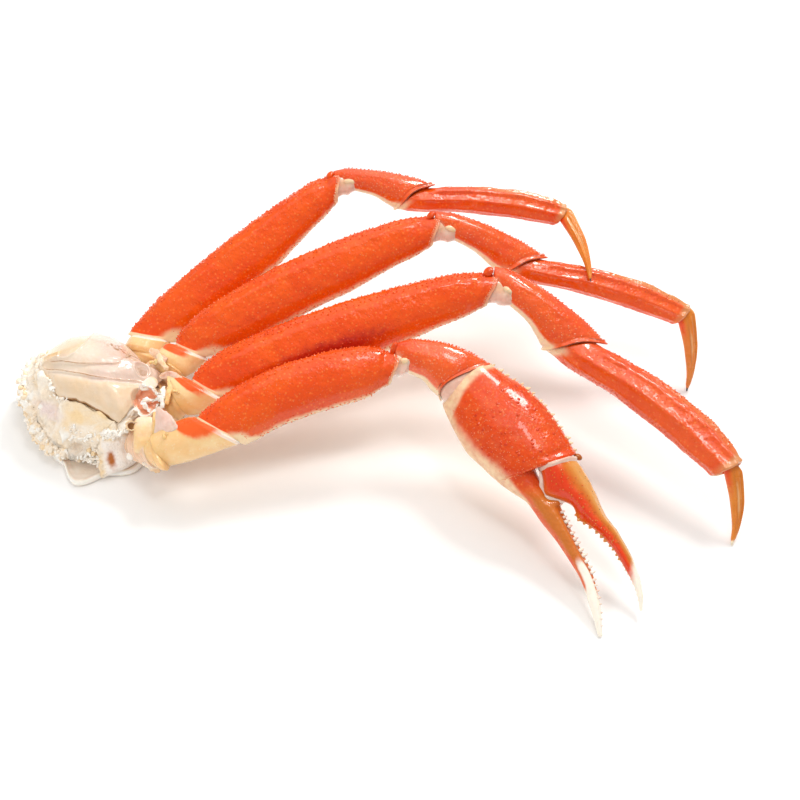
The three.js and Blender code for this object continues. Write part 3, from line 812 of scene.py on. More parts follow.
# The long joint
merusLook = {
    "grid": (170, 96),                # rings and sides
    "ends": (1.2, [[0, 0.2], [0.15, 0.45], [0.45, 0.55], [0.8, 0.4], [1, 0], [1.15, -1.2], [1.5, -2.8],
                   [3.6, -3.4]]),
    "ridges": [(40, 13, 0.5), (-64, 10, 0.35)],       # angle, width and height
    "collar": (0.945, 0.012, -0.4),   # place, width and depth of the groove behind the rim
    "rimShape": [(25, 42, 2.4), (64, 8, -1.8), (-60, 30, 0.8)],
    "knobAt": (0.975, 74),            # the row of knobs by the knee, at this place and angle
    # Besides the cream edge, this line sets two painted shades: crimson low on the front face, and tan over
    # the cream underside towards the root
    "creamEdge": 0.85, "paintedLowShade": 0.12, "paintedUnderShade": 0.62,
    "band": (50, 8), "face": (40, 8), "low": (46, 2), "rim": (1, 46),      # how many spines and warts
}
merusSpines = {
    "band": {"places": (0.03, 0.97), "angles": (44, 150), "loose": 0.8, "size": (0.46, 0.42),
             "lean": 0.3, "shape": spineShape, "marks": {"red": 0.15}},
    "face": {"places": (0.05, 0.95), "angles": (-55, 40), "loose": 1.2, "size": (0.15, 0.22),
             "marks": {"cream": 0.26}},
    "low": {"places": (0.12, 0.97), "angles": (-78, -54), "loose": 1.0, "size": (0.36, 0.32),
            "lean": 0.3, "shape": spineShape, "marks": {"red": 0.25}},
    "rim": {"places": (0.984, 0.996), "angles": (-110, 55), "loose": 0.6, "size": (0.2, 0.24),
            "lean": 0.4, "marks": {"cream": 0.5}},
}


# Ridges that fade at the root and the knee, the collar's groove, the raised rim, lumps along the upper
# band, and the shell's own noise
def merusRelief(place, angle, points, look, seed):
    lift = ridgesAt(angle, look["ridges"]) * rampUp(place, 0.02, 0.15) * (1 - 0.6 * rampUp(place, 0.85, 1))
    middle, width, depth = look["collar"]
    lift = lift + depth * bell(place, middle, width) * bellAround(angle, 10, 70)
    lift = lift + 0.45 * rampUp(place, 0.965, 1)
    lift = lift + 0.3 * layeredNoise(points, 2.0, seed + 9, 2) * bellAround(angle, 72, 40)
    return lift + surfaceNoise(points, seed)


# The long joint: its loft with the relief, a dome inside the hip and an open rim turned in at the knee
def addMerus(name, limb, look, seed):
    laid = layLimb(name, limb, look["grid"], lambda *at: merusRelief(*at, look, seed))
    shapeEdge(laid, look["rimShape"])
    place, angle = laid["place"], laid["angle"]
    rim = rampUp(place, 0.988, 0.996) * bellAround(angle, -30, 95)
    root = rampUp(-place, -0.14, -0.01) * rampUp(-sinOf(angle), -0.1, 0.6)
    under = undersideMark(laid, look["creamEdge"], 0.05, 0.2)
    marks = {
        "cream": held(under + 0.6 * rim + root + 0.9 * rampUp(-place, -0.018, -0.011)),
        # tan over the cream underside towards the root: painted shade
        "tan": look["paintedUnderShade"] * under * rampUp(-place, -0.85, -0.4) * rampUp(place, 0.03, 0.08),
        # red: the upper band and the knee end, plus a crimson painted shade low on the front face
        "red": 0.22 * bellAround(angle, 75, 40) + 0.3 * rampUp(place, 0.9, 0.97)
        + look["paintedLowShade"] * bellAround(angle, -22, 27) * bell(place, 0.4, 0.3),
    }
    parts = [closeLimb(laid, marks, look["ends"])] + strewOn(laid, merusSpines, look)
    parts += [lumpOn(laid, look["knobAt"], push, radii, {"red": 0.35}, 0.05, seed)
              for push, radii in look["knobs"]]
    makePiece(name, parts, merusShell, [name])
    return laid


# The skin in a joint. neck is where it meets the next piece, as a place along that, and hinges are the
# cream lumps on it: [place, angle], radii and how far out of the surface
kneeSkin = {"inset": 0.7, "pink": 0.45, "cream": 0.6, "pinch": 0.02, "folds": 2, "foldDepth": 0.45,
            "neck": 0.26, "hinges": [((0.12, -20), (2.4, 1.28, 1.44), -0.5)]}
clawKneeSkin = {**kneeSkin, "neck": 0.24, "hinges": [((0.1, -20), (2.4, 1.44, 1.6), -0.5)]}
wristSkin = {"inset": 0.9, "pink": 0.6, "cream": 0.0, "pinch": 0.0, "folds": 1, "foldDepth": 0.3,
             "neck": 0.02, "hinges": []}


# A bridge from a ring just inside the rim of one piece to a ring at the neck of the next
def addJointSkin(name, before, after, look):
    ringA = turnIn(before["grid"][-1], before["to"], [[1.5, -1.8]])[0]
    spot = int(round(look["neck"] * (len(after["places"]) - 1)))
    ringB = turnIn(after["grid"][spot], after["axes"][0], [[look["inset"], 0]])[0]
    angles = before["angles"]
    marks = {"cream": look["cream"] * bellAround(angles, 15, 40), "red": look["pink"],
             "white": 0.6 * bellAround(angles, -85, 40)}
    parts = [bridgePart(ringA, ringB, marks, look["pinch"], look["folds"], look["foldDepth"], 44)]
    parts += [lumpOn(after, at, (0, push), radii, {"cream": 0.6, "tan": 0.3}, 0.22, 3)
              for at, radii, push in look["hinges"]]
    makePiece(name, parts, jointSkin, [name])


# The short joint after the knee
carpusLook = {
    "ridges": [(32, 12, 0.4)], "tipShape": [(80, 26, 1.1), (20, 32, -1.8), (-60, 34, 0.9)],
    "neckShape": [(95, 50, -2.6), (25, 45, -2.0)],
    "grid": (90, 96),
    "ends": (1.4, [[0, 0.15], [0.2, 0.35], [0.5, 0.3], [0.7, -0.2], [0.9, -1.6], [3, -2]]),
    "edge": (26, 3), "face": (16, 8),
}
carpusSpines = {
    "edge": {"places": (0.08, 0.95), "angles": (66, 128), "loose": 0.8, "size": (0.5, 0.36),
             "lean": 0.5, "shape": spineShape, "marks": {"red": 0.2}},
    "face": {"places": (0.06, 0.92), "angles": (-50, 62), "loose": 1.3, "size": (0.14, 0.24),
             "marks": {"cream": 0.35}},
}


# A loft with one ridge that is highest halfway, and a raised rim with a shallow groove behind it
def addCarpus(name, limb, look, seed):
    def relief(place, angle, points):
        lift = ridgesAt(angle, look["ridges"]) * np.sin(np.pi * held(place))
        lift = lift + 0.35 * rampUp(place, 0.955, 1) - 0.2 * bell(place, 0.935, 0.02)
        return lift + surfaceNoise(points, seed, 0.18)

    laid = layLimb(name, limb, look["grid"], relief)
    shapeEdge(laid, look["tipShape"], 0.25)
    shapeEdge(laid, look["neckShape"], 0.3, 0)
    place, angle = laid["place"], laid["angle"]
    corner = rampUp(place, 0.72, 0.97) * bellAround(angle, -70, 40)
    neck = rampUp(-place, -0.1, -0.02) * bellAround(angle, -60, 70)
    marks = {
        "cream": held(undersideMark(laid, 0.8) + 0.9 * corner + 0.8 * neck),
        "red": 0.4 * bellAround(angle, 60, 45) * rampUp(-place, -0.6, 0),
        "brown": 0.8 * bell(place, 0.998, 0.006) * bellAround(angle, 10, 80),
    }
    parts = [closeLimb(laid, marks, look["ends"])] + strewOn(laid, carpusSpines, look)
    makePiece(name, parts, shinyShell, [name])
    return laid


# The outer joint, with ridges along it
propodusLook = {
    "ridges": [(78, 9, 0.55), (40, 9, 0.8), (-2, 9, 0.6), (-44, 10, 0.5), (150, 10, 0.3), (205, 12, 0.3)],
    "grid": (130, 96),
    "ends": (1.6, [[0.1, 0.3], [0.35, 0.55], [0.8, 0.6], [1.1, 0.2], [1.25, -0.6], [2.5, -1.2]]),
    "endShape": [(0, 60, 0.5), (90, 40, -0.9), (-90, 40, -1.2)],
    "tan": 0.85, "warts": (30, 4), "edge": (0, 0), "low": (0, 0),
}
propodusSpines = {
    "warts": {"places": (0.05, 0.92), "angles": (12, 78), "loose": 1.2, "size": (0.16, 0.2),
              "marks": {"red": 0.6}},
    "edge": {"places": (0.06, 0.9), "angles": (68, 122), "loose": 0.8, "size": (0.45, 0.36),
             "lean": 0.5, "shape": spineShape, "marks": {"red": 0.25}},
    "low": {"places": (0.1, 0.92), "angles": (-84, -50), "loose": 0.8, "size": (0.32, 0.32),
            "lean": 0.5, "shape": spineShape, "marks": {"red": 0.35}},
}


# A loft whose ridges fade at both ends and are broken by noise
def addPropodus(name, limb, look, seed):
    def relief(place, angle, points):
        lift = ridgesAt(angle, look["ridges"])
        lift = lift * rampUp(place, 0.02, 0.12) * (1 - 0.4 * rampUp(place, 0.9, 1))
        lift = lift * (1 + 0.5 * softNoise(points, 4, seed + 6))
        lift = lift + 0.16 * layeredNoise(points, 1.7, seed + 8, 2)
        return lift + 0.25 * rampUp(place, 0.975, 1) + surfaceNoise(points, seed, 0.2)

    laid = layLimb(name, limb, look["grid"], relief)
    shapeEdge(laid, look["endShape"], 0.1)
    place, angle = laid["place"], laid["angle"]
    corner = rampUp(-place, -0.1, 0.0) * bellAround(angle, -55, 40)
    marks = {
        "cream": held(1.2 * corner + undersideMark(laid, 1.05, -0.45)),
        "tan": held(look["tan"] * bellAround(angle, 86, 42) * rampUp(place, 0.0, 0.7)
                    + 0.9 * rampUp(place, 0.94, 0.99) * bellAround(angle, 40, 90)),
        "red": 0.3 * bellAround(angle, -60, 40) * rampUp(place, 0.1, 0.4),
    }
    parts = [closeLimb(laid, marks, look["ends"])] + strewOn(laid, propodusSpines, look)
    makePiece(name, parts, shinyShell, [name])


# The pointed last joint: ridges with grooves between them, and where its tip changes colour
dactylLook = {
    "ridges": [(62, 12, 0.3), (22, 9, 0.22), (-14, 10, 0.26), (118, 14, 0.3), (160, 12, 0.2),
               (42, 9, -0.3), (4, 8, -0.25), (140, 10, -0.25)],
    "grid": (110, 72), "ends": (1.5, 0.4),
    "thinner": 0.42, "tipFrom": {"brown": (0.93, 1.0), "cream": (0.9, 0.99)}, "lowest": 0.02,
}


# A loft whose ridges fade towards the tip, which is thinner by some millimetres and kept off the floor
def addDactyl(name, limb, look, tip, seed):
    def relief(place, angle, points):
        lift = ridgesAt(angle, look["ridges"])
        lift = lift * rampUp(place, 0.03, 0.15) * (1 - rampUp(place, 0.6, 0.98))
        return lift + surfaceNoise(points, seed, 0.08, 0.03) - look["thinner"] * rampUp(place, 0.9, 1)

    laid = layLimb(name, limb, look["grid"], relief)
    place, angle = laid["place"], laid["angle"]
    marks = {
        tip: rampUp(place, *look["tipFrom"][tip]),
        "red": 0.8 * bellAround(angle, -50, 40) * rampUp(-place, -0.6, 0),
        # tan along the upper edge towards the root, and a tan streak down the middle of the front face,
        # partly the shell's own groove colour and partly a painted highlight
        "tan": held(0.7 * bellAround(angle, 84, 26) * rampUp(-place, -0.75, -0.3)
                    + 0.6 * bellAround(angle, 8, 12) * bell(place, 0.45, 0.3)),
    }
    body = closeLimb(laid, marks, look["ends"])
    body["points"][:, 2] = np.maximum(body["points"][:, 2], look["lowest"])
    makePiece(name, [body], amberShell, [name])


# The two short cream joints by the body. share is their half width as a share of the long joint's
coxaLook = {"share": 0.6, "grid": (50, 72), "ends": (1.5, 1.2), "noise": (0.5, 0.1),
            "ring": (0.3, 0.85, 0.08)}         # height, place and width
ischiumLook = {"share": 0.88, "grid": (70, 88), "ends": (1.0, 1.0), "noise": (0.3, 0.08),
               "groove": 0.35, "blotch": (42, 48)}
roots = {}               # each limb's first short joint, for the skins round it


# Two lofts between three planes: the first with a low ring round it, the second with a groove at its end
# and an orange blotch on its upper face
def addShortJoints(name, leg, planes, starts, seed):
    bodyPlane, coxaPlane, hipPlane = planes
    half = leg["half"]["merus"]
    height, middle, width = coxaLook["ring"]

    def coxaRelief(place, angle, points):
        return surfaceNoise(points, seed, *coxaLook["noise"]) + height * bell(place, middle, width)

    def ischiumRelief(place, angle, points):
        groove = ischiumLook["groove"] * rampUp(place, 0.93, 1)
        return surfaceNoise(points, seed + 1, *ischiumLook["noise"]) - groove

    coxa = layLimb(f"{name}_coxa", limbOf(
        starts[0], leg["coxa"], "coxa", coxaLook["share"] * half, (bodyPlane, endGap),
        (coxaPlane, -endGap)), coxaLook["grid"], coxaRelief)
    # tan towards the body end is painted shade; brown at the far end is the dark joint
    marks = {"tan": 0.7 * rampUp(-coxa["place"], -0.5, 0), "brown": 0.3 * rampUp(coxa["place"], 0.93, 1)}
    body = closeLimb(coxa, marks, coxaLook["ends"])
    makePiece(f"{name}_coxa", [body], creamShell, [f"{name}_coxa"])
    roots[name] = coxa
    ischium = layLimb(f"{name}_ischium", limbOf(
        starts[1], leg["ischium"], "ischium", ischiumLook["share"] * half, (coxaPlane, endGap),
        (hipPlane, -endGap)), ischiumLook["grid"], ischiumRelief)
    place, angle = ischium["place"], ischium["angle"]
    blotch = rampUp(place, leg["blotchFrom"] - 0.1, leg["blotchFrom"] + 0.15)
    blotch = blotch * bellAround(angle, *ischiumLook["blotch"])
    marks = {
        "red": held(1.3 * blotch),
        "cream": 0.9 * rampUp(place, 0.935, 0.955),
        "tan": 0.5 * rampUp(-place, -0.3, 0),
    }
    body = closeLimb(ischium, marks, ischiumLook["ends"])
    makePiece(f"{name}_ischium", [body], creamShell, [f"{name}_ischium"])


# A limb from the body to the knee. The two short joints are laid back from the hip along their bones.
def upperLimb(name, leg, merusProfile, look, seed):
    hip = np.array(leg["hip"], float)
    ischiumStart = hip - leg["ischium"][0] * direction(leg["ischium"])
    coxaStart = ischiumStart - leg["coxa"][0] * direction(leg["coxa"])
    knee = endOf(hip, leg["merus"])
    bodyPlane = jointPlane(coxaStart, leg["coxa"], "body")
    coxaPlane = jointPlane(ischiumStart, leg["ischium"], "coxa")
    hipPlane = jointPlane(hip, leg["merus"], "hip")
    kneePlane = jointPlane(knee, leg["merus"], "knee")
    addShortJoints(name, leg, (bodyPlane, coxaPlane, hipPlane), (coxaStart, ischiumStart), seed)
    merus = addMerus(f"{name}_merus", limbOf(
        hip, leg["merus"], merusProfile, leg["half"]["merus"], (hipPlane, endGap), (kneePlane, -skinSide),
        leg["bow"], leg["blunt"]), look, seed)
    return merus, knee, kneePlane


legLooks = {             # how the legs differ; a knob is [pushed along, pushed out], radii
    "rear_leg": {"merus": {"knobs": [((0.4, 0.1), (2.0, 1.5, 2.0))], "band": (46, 8)},
                 "propodus": {}, "tip": "brown"},
    "middle_leg": {"merus": {"knobs": [((0.8, 0.6), (1.9, 1.7, 2.0))]},
                   "propodus": {}, "tip": "brown"},
    # the front leg has the deepest painted shade low on its long joint
    "front_leg": {"merus": {"knobs": [((0.8, 0.8), (2.1, 1.9, 2.2))], "band": (56, 10), "paintedLowShade": 0.85},
                  "propodus": {"tan": 0.55, "edge": (44, 4), "low": (44, 2)}, "tip": "cream"},
}


# A walking leg: each joint's bone starts where the one before it ends
def addLeg(name, leg, looks, seed):
    merus, knee, kneePlane = upperLimb(name, leg, "merus", {**merusLook, **looks["merus"]}, seed)
    half = leg["half"]
    wrist = endOf(knee, leg["carpus"])
    ankle = endOf(wrist, leg["propodus"])
    wristPlane = jointPlane(wrist, leg["carpus"], "wrist")
    anklePlane = jointPlane(ankle, leg["propodus"], "ankle")
    tipPlane = jointPlane(endOf(ankle, leg["dactyl"]), leg["dactyl"], "tip")
    carpus = addCarpus(f"{name}_carpus", limbOf(
        knee, leg["carpus"], "carpus", half["carpus"], (kneePlane, skinSide), (wristPlane, -endGap)),
        carpusLook, seed + 2)
    addJointSkin(f"{name}_knee_skin", merus, carpus, kneeSkin)
    addPropodus(f"{name}_propodus", limbOf(
        wrist, leg["propodus"], "propodus", half["propodus"], (wristPlane, endGap), (anklePlane, -endGap)),
        {**propodusLook, **looks["propodus"]}, seed + 3)
    addDactyl(f"{name}_dactyl", limbOf(
        ankle, leg["dactyl"], "dactyl", half["dactyl"], (anklePlane, endGap), (tipPlane, -endGap)),
        dactylLook, looks["tip"], seed + 4)


for number, name in enumerate(legs):
    addLeg(name, legs[name], legLooks[name], 10 + 10 * number)
print("walking legs made")


clawLook = {
    **merusLook, "ridges": [(48, 16, 0.4), (-64, 10, 0.35)], "rimShape": [(15, 40, 2.6), (-60, 40, 1.8)],
    # the claw's long joint takes less of the painted shade on its underside
    "knobs": [((1.4, 1.2), (1.6, 2.6, 1.5))], "creamEdge": 0.86, "paintedUnderShade": 0.2,
    "band": (38, 7), "face": (34, 12), "low": (30, 2),
}
clawCarpusLook = {
    **carpusLook, "ridges": [(60, 22, 0.6)], "tipShape": [(78, 30, 2.2), (-10, 42, -3.4), (-85, 30, 2.4)],
    "edge": (22, 4),
}


# A row of blunt teeth along one side of a finger. The row is [from, to, count] along it, and each tooth
# points partly the way that the surface faces further round. They grow to full size a third of the way
# along and shrink to a share of it at the end.
def toothRow(laid, row):
    start, end, count = row["row"]
    places = np.linspace(start, end, count) + (dice.random(count) - 0.5) * 0.4 * (end - start) / count
    bases, outward = spotsOn(laid, places, row["angle"] + (dice.random(count) - 0.5) * 14)
    outward = unit(0.4 * outward + spotsOn(laid, places, 0 * places + row["angle"] + row["further"])[1])
    size = np.interp(places, mix(start, end, np.array([0, 0.35, 1])), [0.6, 1, row["shrink"]])
    tall = row["tall"] * size * mix(0.8, 1.15, dice.random(count))
    return spinePart(bases, outward, tall, tall * row["girth"], row["marks"], toothShape, 8)


# The palm and the fixed finger. The palm ends in a step at the hinge, where the rings lie close together
palmLook = {
    "sides": 96, "ends": (2.2, 0.8),
    "places": [(0, 0.358, 110), (0.36, 0.372, 14), (0.376, 1, 130)],       # from, to and number of rings
    "swellings": [(0.5, 0.2, 0.14, 5, 50), (-0.5, 0.338, 0.01, 55, 35), (0.4, 0.357, 0.007, 55, 40),
                  (2.2, 0.522, 0.02, 64, 26)],
    "fingerRidges": [(20, 18, 0.9), (52, 14, -0.7)], "rootShape": [(25, 50, -3.2), (-75, 25, 0.8)],
    "redness": 0.35,
    "teeth": {"row": (0.54, 0.975, 21), "angle": 66, "further": 50, "tall": 1.9, "girth": 0.5,
              "shrink": 0.35, "marks": {"tan": 0.6, "white": 0.62}},
    "crest": [(0.01, 0.355, 15, 88, 1.3, 0.7), (0.03, 0.35, 11, 102, 0.9, 0.6),    # from, to, count,
              (0.0, 0.3, 12, 76, 0.6, 0.45)],                                      # angle, height, width
    "bumps": (9, 5), "warts": (34, 16),
    "knob": {"spot": (0.36, 84), "push": (1.5, 0), "radii": (1.5, 1.4, 1.5),
             "marks": {"brown": 0.7, "tan": 0.5}},
}
palmSpines = {
    "bumps": {"places": (0.08, 0.34), "angles": (-42, 60), "loose": 1.4, "size": (0.24, 0.6),
              "marks": {"red": 0.5}},
    "warts": {"places": (0.04, 0.38), "angles": (-50, 84), "loose": 1.5, "size": (0.13, 0.22),
              "marks": {"cream": 0.25}},
}


# A loft with swellings, a ridge on the palm's lower face and a ridge and groove on the finger. Marks: cream
# under it and round its root, tan on the finger's inner face with brown patches among its teeth, and a
# white tip
def addPalm(name, limb, look, seed):
    def relief(place, angle, points):
        finger = rampUp(place, 0.45, 0.55)
        lift = swellingsAt(place, angle, look["swellings"])
        keel = 0.35 * bellAround(angle, -74, 12)
        lift = lift + keel * rampUp(place, 0.03, 0.12) * rampUp(-place, -0.9, -0.6)
        lift = lift + finger * (1 - place) * ridgesAt(angle, look["fingerRidges"])
        return lift + surfaceNoise(points, seed, 0.3, 0.07) * (1 - 0.6 * finger)

    places = np.concatenate([np.linspace(*part) for part in look["places"]])
    laid = layLimb(name, limb, (len(places), look["sides"]), relief, places)
    shapeEdge(laid, look["rootShape"], 0.07, 0)
    place, angle = laid["place"], laid["angle"]
    sine = sinOf(angle)
    palm, finger = rampUp(-place, -0.52, -0.4), rampUp(place, 0.39, 0.52)
    lowEdge = np.where(place < 0.366, mix(0.86, 0.72, rampUp(place, 0.1, 0.36)),
                       mix(0.44, 1.15, rampUp(place, 0.37, 0.54)))
    frontAngle = (angle + 180) % 360 - 180
    rootEdge = 0.016 + 0.06 * held((10 - frontAngle) / 80) ** 2
    cream = np.maximum(rampUp(-place, -0.54, -0.46) * undersideMark(laid, lowEdge, 0.2, 0.2),
                       0.9 * rampUp(rootEdge - place, -0.01, 0.01))
    tip = rampUp(place - 0.13 * bellAround(angle, 62, 24), 0.7, 0.79)
    tip = tip * (1 - 0.9 * bellAround(angle, -52, 24) * rampUp(-place, -0.9, -0.8))
    inner = finger * rampUp(-place, -0.95, -0.86) * rampUp(sine, -1.0, -0.3)
    # darker brown patches among the teeth on the finger's inner face
    brownPatches = (0.9 * bellAround(angle, 50, 17) * rampUp(place, 0.5, 0.56) * rampUp(-place, -0.9, -0.72)
              * held(0.75 + 0.5 * softNoise(laid["grid"], 1.6, seed + 7)))
    marks = {
        "cream": held(cream + 0.8 * finger * bellAround(angle, -112, 40)),
        "red": palm * look["redness"] + 0.3 * finger * bellAround(angle, -60, 18),
        "tan": held(1.1 * inner) * (1 - tip) * (1 - 0.85 * brownPatches),
        "brown": held(brownPatches + 0.9 * bell(place, 0.366, 0.004) * rampUp(sine, 0.6, 0.8)),
        "white": tip,
    }
    parts = [closeLimb(laid, marks, look["ends"]), toothRow(laid, look["teeth"])]
    for start, end, count, at, tall, wide in look["crest"]:
        places = np.linspace(start, end, count) + (dice.random(count) - 0.5) * 0.012
        bases, outward = spotsOn(laid, places, at + (dice.random(count) - 0.5) * 10)
        size = mix(0.75, 1.25, dice.random(count))
        parts.append(spinePart(bases, unit(outward + 0.35 * laid["axes"][0]), tall * size, wide * size,
                               {"cream": 1.0}))
    parts += strewOn(laid, palmSpines, look)
    knob = look["knob"]
    parts.append(lumpOn(laid, knob["spot"], knob["push"], knob["radii"], knob["marks"], 0.1, seed))
    makePiece(name, parts, palmShell, [name])
    return laid


# The movable finger
fingerLook = {
    "grid": (150, 88), "ends": (1.5, 0.7),
    "ridges": [(38, 12, 0.5), (12, 12, -0.35), (-20, 12, 0.3)],
    "swellings": [(1.5, 0.36, 0.035, -88, 22), (-0.7, 0.27, 0.03, -90, 30), (2.1, 0.15, 0.06, -85, 32)],
    "rootShape": [(170, 60, -0.5)], "pits": (26, 3), "warts": (20, 4),
    "teeth": [{"row": (0.33, 0.68, 11), "angle": -84, "further": 0, "tall": 1.15, "girth": 0.9,
               "shrink": 0.55, "marks": {"red": 0.4, "tan": 0.6}},
              {"row": (0.69, 0.94, 9), "angle": -86, "further": 0, "tall": 0.6, "girth": 0.9,
               "shrink": 0.55, "marks": {"white": 0.9}}],
}
fingerSpines = {
    "pits": {"places": (0.06, 0.7), "angles": (45, 112), "loose": 1.6, "size": (0.06, 0.16),
             "marks": {"brown": 0.8}},
    "warts": {"places": (0.03, 0.6), "angles": (-40, 22), "loose": 1.2, "size": (0.26, 0.3),
              "marks": {"red": 0.45}},
}


# A loft with ridges that fade to the tip and a lobe and steps on its inner edge. Marks: a tan stripe along
# its upper edge, a red front face and a white tip
def addFinger(name, limb, look, seed):
    def relief(place, angle, points):
        fade = rampUp(-place, -0.95, -0.6)
        lift = fade * ridgesAt(angle, look["ridges"]) + swellingsAt(place, angle, look["swellings"])
        return lift + surfaceNoise(points, seed, 0.2, 0.05) * fade

    laid = layLimb(name, limb, look["grid"], relief)
    shapeEdge(laid, look["rootShape"], 0.05)
    place, angle = laid["place"], laid["angle"]
    stripe = held(1.3 * bellAround(angle, 86, 48)) * rampUp(place, 0.0, 0.05)
    front = 0.75 * bellAround(angle, -25, 58)
    marks = {
        "tan": held(1.25 * stripe),
        "red": held(1.2 * front) * (1 - 0.8 * stripe),
        "cream": 0.6 * bellAround(angle, 180, 50),
        "brown": 0.35 * bellAround(angle, 108, 16) * rampUp(-place, -0.6, -0.2),
        "white": rampUp(place + 0.06 * sinOf(angle), 0.64, 0.9),
    }
    parts = [closeLimb(laid, marks, look["ends"])] + [toothRow(laid, row) for row in look["teeth"]]
    parts += strewOn(laid, fingerSpines, look)
    makePiece(name, parts, fingerShell, [name])
    return laid


# The skin round the finger's root: a fold between two of its rings, and a strap down its front
hingeSkin = {
    "outer": (2, -0.7, 1.2), "inner": (4, 0.3, 0),       # ring, how far in and how far out behind it
    "strap": [      # place along the finger, angle round it, height above it, half width
        (0.01, -76, 0.5, 0.4), (0.06, -80, 0.6, 0.7), (0.11, -84, 0.7, 0.9), (0.155, -84, 0.7, 0.95),
        (0.2, -82, 0.6, 0.8), (0.235, -80, 0.3, 0.4),
    ],
}


# The fold is a bridge between the two rings. The strap follows the surface at its places and angles.
def addHingeSkin(name, finger, look):
    outer, inner = (turnIn(finger["grid"][ring], -finger["from"], [[inwards, behind]])[0]
                    for ring, inwards, behind in (look["outer"], look["inner"]))
    fold = bridgePart(outer, inner, {"white": 0.2, "red": 0.4}, -0.03, 1, 0.12, 14)
    places, angles, push, wide = np.array(look["strap"]).T
    bases, outward = spotsOn(finger, places, angles)
    rows = np.column_stack([bases + push[:, None] * outward, wide, 0.7 * wide])
    strap = strapPart(rows, upFront, {"red": 0.3, "white": 0.35}, 0.12, 5)
    makePiece(name, [fold, strap], jointSkin)


# The claw leg: after the wrist come the palm and, from its own base, the finger
def addClawLeg():
    merus, knee, kneePlane = upperLimb("claw", claw, "clawMerus", clawLook, 50)
    wrist = endOf(knee, claw["carpus"])
    wristPlane = jointPlane(wrist, claw["carpus"], "clawWrist")
    palmEnd = jointPlane(endOf(wrist, claw["palm"]), claw["palm"], "tip")
    carpus = addCarpus("claw_carpus", limbOf(
        knee, claw["carpus"], "carpus", claw["half"]["carpus"], (kneePlane, skinSide),
        (wristPlane, -skinSide)), clawCarpusLook, 52)
    addJointSkin("claw_knee_skin", merus, carpus, clawKneeSkin)
    palm = addPalm("claw_palm", limbOf(
        wrist, claw["palm"], "palm", 1, (wristPlane, skinSide), (palmEnd, -endGap)), palmLook, 53)
    addJointSkin("claw_wrist_skin", carpus, palm, wristSkin)
    base = np.array(claw["fingerBase"])
    hinge = jointPlane(base, claw["palm"], "hinge")
    fingerEnd = jointPlane(endOf(base, claw["finger"]), claw["finger"], "tip")
    finger = addFinger("claw_movable_finger", limbOf(
        base, claw["finger"], "finger", 1, (hinge, endGap), (fingerEnd, -endGap)), fingerLook, 54)
    addHingeSkin("claw_hinge_skin", finger, hingeSkin)


addClawLeg()
print("claw leg made")


# The shoulder is worked out round an upright line through its middle. Bearings turn from +X to +Y. An
# edge is rows of [bearing, radius], and the rim's rows end with its height.
shoulder = {
    "middle": np.array([-108.0, 12.0]), "apex": np.array([-131.2, 18.7]), "top": 38.5, "flatness": 2.3,
    "pocket": (-86.9, -1.0, 6.4, 5.6), "pocketDepth": 5,       # the hollow at the front corner
    "rim": [[-57, 28.2, 26], [-35, 24.4, 27.5], [-10, 23.8, 28], [5, 25, 27.5], [22, 17.5, 27],
            [48, 19, 25], [90, 24, 24], [129, 27, 24], [164, 24, 26], [190, 22.4, 24], [223, 19.1, 22],
            [267, 22, 18], [291, 27.4, 21]],
}
roofLook = {
    "edge": [[-62, 24.5], [-45, 22.5], [-35, 22.8], [-10, 24], [5, 26], [24, 21.5], [48, 21.5], [90, 25],
             [129, 27.5], [150, 26.5], [164, 24.5], [176, 20.5], [193, 16.8], [211, 16.4], [230, 15],
             [250, 14.2], [277, 17.2], [292, 22.4]],
    "grid": (150, 480), "thickness": 1.3, "backRise": 1.8,
    # each seam is rows of [distance from the apex, bearing], the depth of its valley, the height of its
    # ridge, and the distances between which it runs
    "seams": [
        {"rows": [[4, -20], [8.9, -23.1], [16.7, -24.7], [23.5, -21.4], [29.4, -16.6], [34, -11.5],
                  [35.2, -0.5], [36.2, 5.5], [45, 10]], "valley": 1.3, "ridge": 0.9, "from": 6, "to": 43},
        {"rows": [[3.2, -53.8], [7.9, -44], [12.1, -39.6], [16.1, -36.9], [22.2, -32.5], [28.1, -29.8],
                  [32.9, -26.6], [36.7, -22.9], [42.9, -17.1], [50, -15]],
         "valley": 1.7, "ridge": 0.9, "from": 5, "to": 44},
    ],
    "overlap": [[3, 20], [8, -8], [12.7, -15], [15.7, -9.2], [17.3, -1.7], [19.1, 7.2], [20.8, 17.7],
                [22.8, 26.6], [30, 45]],
    "hole": (-89.3, 11.4, 2.6, 3.0), "stain": (-99.8, 21.4, 5.6, 3.4),     # middles and radii
    "slit": (222, 292),                  # the bearings between which the edge is dark
    "box": (-126.2, 19.2, 3.3, 1.6),     # the small raised frame by the apex: middle and half sizes
}
